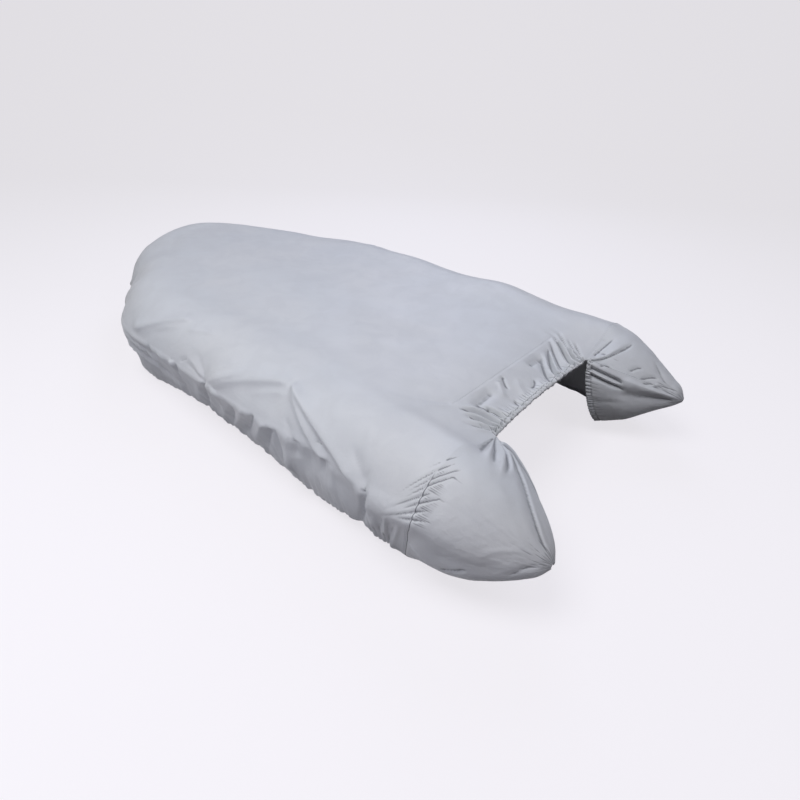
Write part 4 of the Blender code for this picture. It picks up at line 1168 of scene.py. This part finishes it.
def coated_cloth():
    """Silver-grey coated polyester: plain weave under a thin satin coat, softly crinkled."""
    n = Nodes("coated_polyester", Metallic=0.0, Specular_IOR_Level=0.38, Sheen_Weight=0.12,
              Sheen_Roughness=0.45)
    place = n.place()
    ground = n.add("SeparateXYZ", {0: place}).outputs
    flat = n.add("Attribute", attribute_name="cloth").outputs["Vector"]
    way, girth, on_side = n.add("SeparateXYZ", {0: flat}).outputs
    yarn = n.add("Mix", {0: on_side, 2: weave(n, ground[0], ground[1]),
                         3: weave(n, way, girth)}).outputs[0]

    cloudy = n.noise(place, 11.0, 4.0, 0.8)
    threads = n.noise(place, 420.0)
    dust = n.times(n.ramp(girth, 0.40, 0.56), n.ramp(cloudy, 0.40, 0.68, 0.15, 0.9))
    # painted shade in the hollows of folds and between gathers, from the shade attribute
    hollow = n.add("Attribute", attribute_name="shade").outputs["Fac"]
    # a painted dark line round the port ring seam, where the two cloths meet: partly their dark
    # joint, partly painted shade of the step between them
    line = n.times(n.ramp(n.math("ABSOLUTE", way), 0.0006, 0.0020, 1.0, 0.0),
                   n.times(on_side, n.ramp(girth, 0.10, 0.15, 0.0, 0.85)))
    colour = CLOTH_COOL
    for factor, other in (
            (n.ramp(n.noise(place, 2.3, 3.0, 0.4), 0.34, 0.66), CLOTH_WARM),
            (n.ramp(cloudy, 0.35, 0.70, 0.0, 0.55), CLOTH_DARK),
            (n.times(n.ramp(threads, 0.3, 0.7), 0.30), CLOTH_LIGHT),
            (n.times(yarn, 0.20), CLOTH_LIGHT),
            (n.times(dust, 0.35), CLOTH_DUST),
            (n.times(hollow, HOLLOW_SHADE), PAINTED_SHADE),
            (line, PAINTED_SHADE)):
        colour = n.mix(factor, colour, other)
    rough = n.ramp(n.noise(place, 6.0, 3.0, 0.3), 0.3, 0.7, 0.44, 0.56)
    rough = n.math("MULTIPLY_ADD", dust, 0.12, rough)
    rough = n.math("MULTIPLY_ADD", threads, 0.05, rough)
    n.set(n.shader, {"Base Color": colour, "Roughness": rough})

    creases = n.math("ABSOLUTE", n.math("SUBTRACT", n.noise(place, 17.0, 2.0, 1.4), 0.5))
    slack = n.math("MULTIPLY_ADD", n.ramp(girth, 0.05, 0.30), 0.75, 0.25)
    n.bump((n.times(n.noise(place, 34.0, 3.0, 1.1), slack), CRINKLE),
           (n.times(creases, slack), CRINKLE * 1.6),
           (n.noise(place, 95.0, 2.0, 0.6), CRUMPLE), (yarn, WEAVE))
    return n.owner


def thread():
    n = Nodes("sewing_thread")
    place = n.place()
    ply, worn = n.noise(place, 900.0, 2.0, 0.5), n.noise(place, 3.0)
    colour = n.mix(n.ramp(ply, 0.3, 0.7), THREAD_DARK, THREAD_LIGHT)
    n.set(n.shader, {"Base Color": n.mix(n.times(worn, 0.4), colour, THREAD_LIGHT),
                     "Roughness": n.ramp(worn, 0.3, 0.7, 0.55, 0.75)})
    n.bump((ply, 0.0002))
    return n.owner


# ---- The pieces -----------------------------------------------------------------------------
def make_cones(main, stations, rows, cloth):
    """Both cones: their sheets and their pieces."""
    cones = {}
    ways, down = np.arange(len(stations)), np.arange(len(rows))
    for name, side, edge, tuck, puckers, form, folds in (
            ("cone_port", 1.0, 0, TUCK, PORT_PUCKERS, PORT_CONE, PORT_FOLDS),
            ("cone_starboard", -1.0, -1, TOTAL - TUCK, STARBOARD_PUCKERS, STARBOARD_CONE,
             STARBOARD_FOLDS)):
        j = np.arange(CORNER_ROW, len(rows) - 1 + TINY, 1 / RING_SPLIT)
        spot, normal = at_places(main, np.interp(tuck, stations, ways), j)
        under = Sheet(spot - normal * (CLOTH + CLOTH_GAP))
        girths = np.interp(j, down, main.flat[edge, :, 1])
        ring = Sheet(along(j, down, main.points[edge]),
                     flat=np.stack([0 * girths, girths], axis=-1))
        sheet = cone_sheet(side, ring, under, puckers, form, folds)
        shown = turned_round(sheet) if side > 0 else sheet      # its faces look outward
        piece = build_piece("cover_" + name, shown, grid_faces(shown), name, cloth)
        cones[name] = sheet, piece
    return cones


def main_seams(main, stations, rows):
    """Stitch lines of the main panel: beside its three seams and above its hem."""
    lines = []
    places = np.arange(len(stations))
    for inset in (SEAM_ALLOWANCE, 2 * SEAM_ALLOWANCE):
        for station, first in ((inset, PORT_STITCH_ROW), (TOTAL - inset, CORNER_ROW)):
            lines.append(at_places(main, np.interp(station, stations, places),
                                   np.arange(first, len(rows) - LIP_ROWS - 0.01, 0.5)))
    inset = FLAP_SEAM_X + SEAM_ALLOWANCE
    starboard, port = (at_places(main, np.interp(station, stations, places),
                                 np.arange(0.0, CORNER_ROW + 0.01, 0.5))
                       for station in (TOTAL - inset, inset))
    lines.append([np.concatenate([a[::-1], b[1:]]) for a, b in zip(starboard, port)])
    hem = len(rows) - 1 - LIP_ROWS
    j = [np.interp(girths[hem] - HEM_STITCH, girths[:hem], np.arange(hem))
         for girths in main.flat[..., 1]]
    return lines + [at_places(main, places, j)]


def make_cover():
    cloth, sewing = coated_cloth(), thread()
    stations, mate, seam = main_stations()
    rows = main_rows()
    main = main_sheet(stations, rows)
    panel = build_piece("cover_main", main, main_faces(main, mate, seam), "main_panel", cloth)
    cones = make_cones(main, stations, rows, cloth)
    port, starboard = main.points[:seam + 1], main.points[:-seam - 2:-1]
    flap = flap_sheet(np.concatenate([starboard[-1, CORNER_ROW::-1],
                                      port[-1, 1:CORNER_ROW + 1]]),
                      starboard[::-1, CORNER_ROW], port[::-1, CORNER_ROW])
    flap_piece = build_piece("cover_flap", flap, grid_faces(flap), "transom_flap", cloth)

    stitching = sew("stitching_main", main_seams(main, stations, rows), sewing)
    for name, (sheet, piece) in cones.items():
        rings, columns = sheet.shade.shape
        casing = np.interp(CASING, sheet.flat[:, 0, 0], np.arange(rings))
        i = np.arange(1.0, rings - CONE_FOOT, 0.5)
        hem = columns - 1 - (LIP_ROWS + CONE_HEM_STITCH) * RING_SPLIT
        stitching = sew("stitching_" + name,
                        [at_places(sheet, casing, np.arange(0.0, INNER_ROWS - 1, 0.5)),
                         at_places(sheet, i, hem), at_places(sheet, i, CONE_FOOT)], sewing)
    casing = np.interp(FLAP_SEAM_X - CASING, flap.flat[:, 0, 0], np.arange(len(flap.flat)))
    j = np.arange(1.0, flap.points.shape[1] - 2, 0.5)
    stitching = sew("stitching_flap", [at_places(flap, casing, j)], sewing)


# ---- Stage ----------------------------------------------------------------------------------
def make_floor():
    """A pale floor that sweeps up behind the object, as the camera sees it."""
    away = Vector((np.cos(CAMERA_YAW), np.sin(CAMERA_YAW), 0.0))
    beside = Vector((-away.y, away.x, 0.0))
    turns = np.linspace(0.0, np.pi / 2, SWEEP_STEPS + 1)
    profile = [(FLOOR_NEAR, 0.0),
               *((SWEEP_START + SWEEP_RADIUS * np.sin(turn),
                  SWEEP_RADIUS * (1.0 - np.cos(turn))) for turn in turns),
               (SWEEP_START + SWEEP_RADIUS, SWEEP_TOP)]
    floor_z = cad_box[0][2] - FLOOR_DROP
    corners = [away * out + beside * side + Vector((0.0, 0.0, floor_z + up))
               for out, up in profile for side in (-FLOOR_HALF, FLOOR_HALF)]
    faces = [(2 * i + 1, 2 * i, 2 * i + 2, 2 * i + 3) for i in range(len(profile) - 1)]
    mesh = bpy.data.meshes.new("studio_floor")
    mesh.from_pydata([tuple(c) for c in corners], [], faces)
    n = Nodes("studio_floor", Emission_Color=FLOOR_COLOUR, Emission_Strength=FLOOR_GLOW,
              Roughness=0.9, Specular_IOR_Level=0.0)
    tone = n.noise(n.place(), 0.8)
    n.set(n.shader, {"Base Color": n.mix(tone, FLOOR_BASE, FLOOR_SHADE)})
    floor = stage_piece(mesh, n.owner)
    floor.visible_diffuse = False            # the floor throws no light back up at the cloth


def make_surround():
    """A pale dome round the floor, for the other views: it is seen, and lights nothing."""
    mesh = bpy.data.meshes.new("studio_surround")
    shape = bmesh.new()
    bmesh.ops.create_icosphere(shape, subdivisions=4, radius=SURROUND_RADIUS)
    shape.to_mesh(mesh)
    shape.free()
    n = Nodes("studio_surround", Base_Color=(0.0, 0.0, 0.0, 1.0), Emission_Strength=1.0)
    tone = n.noise(n.place(), 0.05, 1.0)
    n.set(n.shader, {"Emission Color": n.mix(tone, SURROUND_COLOUR, SURROUND_SHADE)})
    dome = stage_piece(mesh, n.owner)
    dome.visible_diffuse = dome.visible_glossy = dome.visible_transmission = False
    dome.visible_volume_scatter = dome.visible_shadow = False


def stage_piece(mesh, material):
    mesh.shade_smooth()
    mesh.materials.append(material)
    piece = show(mesh.name, mesh)
    return piece


def make_lights():
    n = Nodes("studio", "worlds", "Background")
    height = n.add("SeparateXYZ", {0: n.add("TexCoord").outputs["Generated"]}).outputs["Z"]
    n.set(n.shader, {"Color": n.mix(n.ramp(height, *WORLD_CHANGE), WORLD_LOW, WORLD_HIGH)})
    bpy.context.scene.world = n.owner
    for name, place, size, power, colour in LIGHTS:
        data = bpy.data.lights.new(name, "AREA")
        data.shape, data.size, data.energy, data.color = "DISK", size, power, colour
        light = show(name, data)
        light.location = place
        light.rotation_mode = "QUATERNION"
        light.rotation_quaternion = (-Vector(place)).to_track_quat("-Z", "Y")
        light.visible_camera = False


def make_camera():
    data = bpy.data.cameras.new("camera")
    data.lens, data.sensor_width, data.sensor_fit = CAMERA_LENS, 36.0, "HORIZONTAL"
    data.dof.use_dof = False
    data.clip_start, data.clip_end = 0.05, 60.0
    camera = show("camera", data)
    yaw, pitch, roll = CAMERA_YAW, CAMERA_PITCH, CAMERA_ROLL
    ahead = Vector((np.cos(pitch) * np.cos(yaw), np.cos(pitch) * np.sin(yaw), np.sin(pitch)))
    right = ahead.cross(Vector((0, 0, 1))).normalized()
    up = right.cross(ahead)
    x = right * np.cos(roll) + up * np.sin(roll)
    y = up * np.cos(roll) - right * np.sin(roll)
    camera.matrix_world = Matrix.Translation(Vector(CAMERA_PLACE) - Vector(ORIGIN)) @ Matrix(
        (x, y, -ahead)).transposed().to_4x4()
    bpy.context.scene.camera = camera


make_camera()
make_cover()
make_floor()
make_surround()
make_lights()
bpy.context.scene.view_settings.view_transform = "Standard"
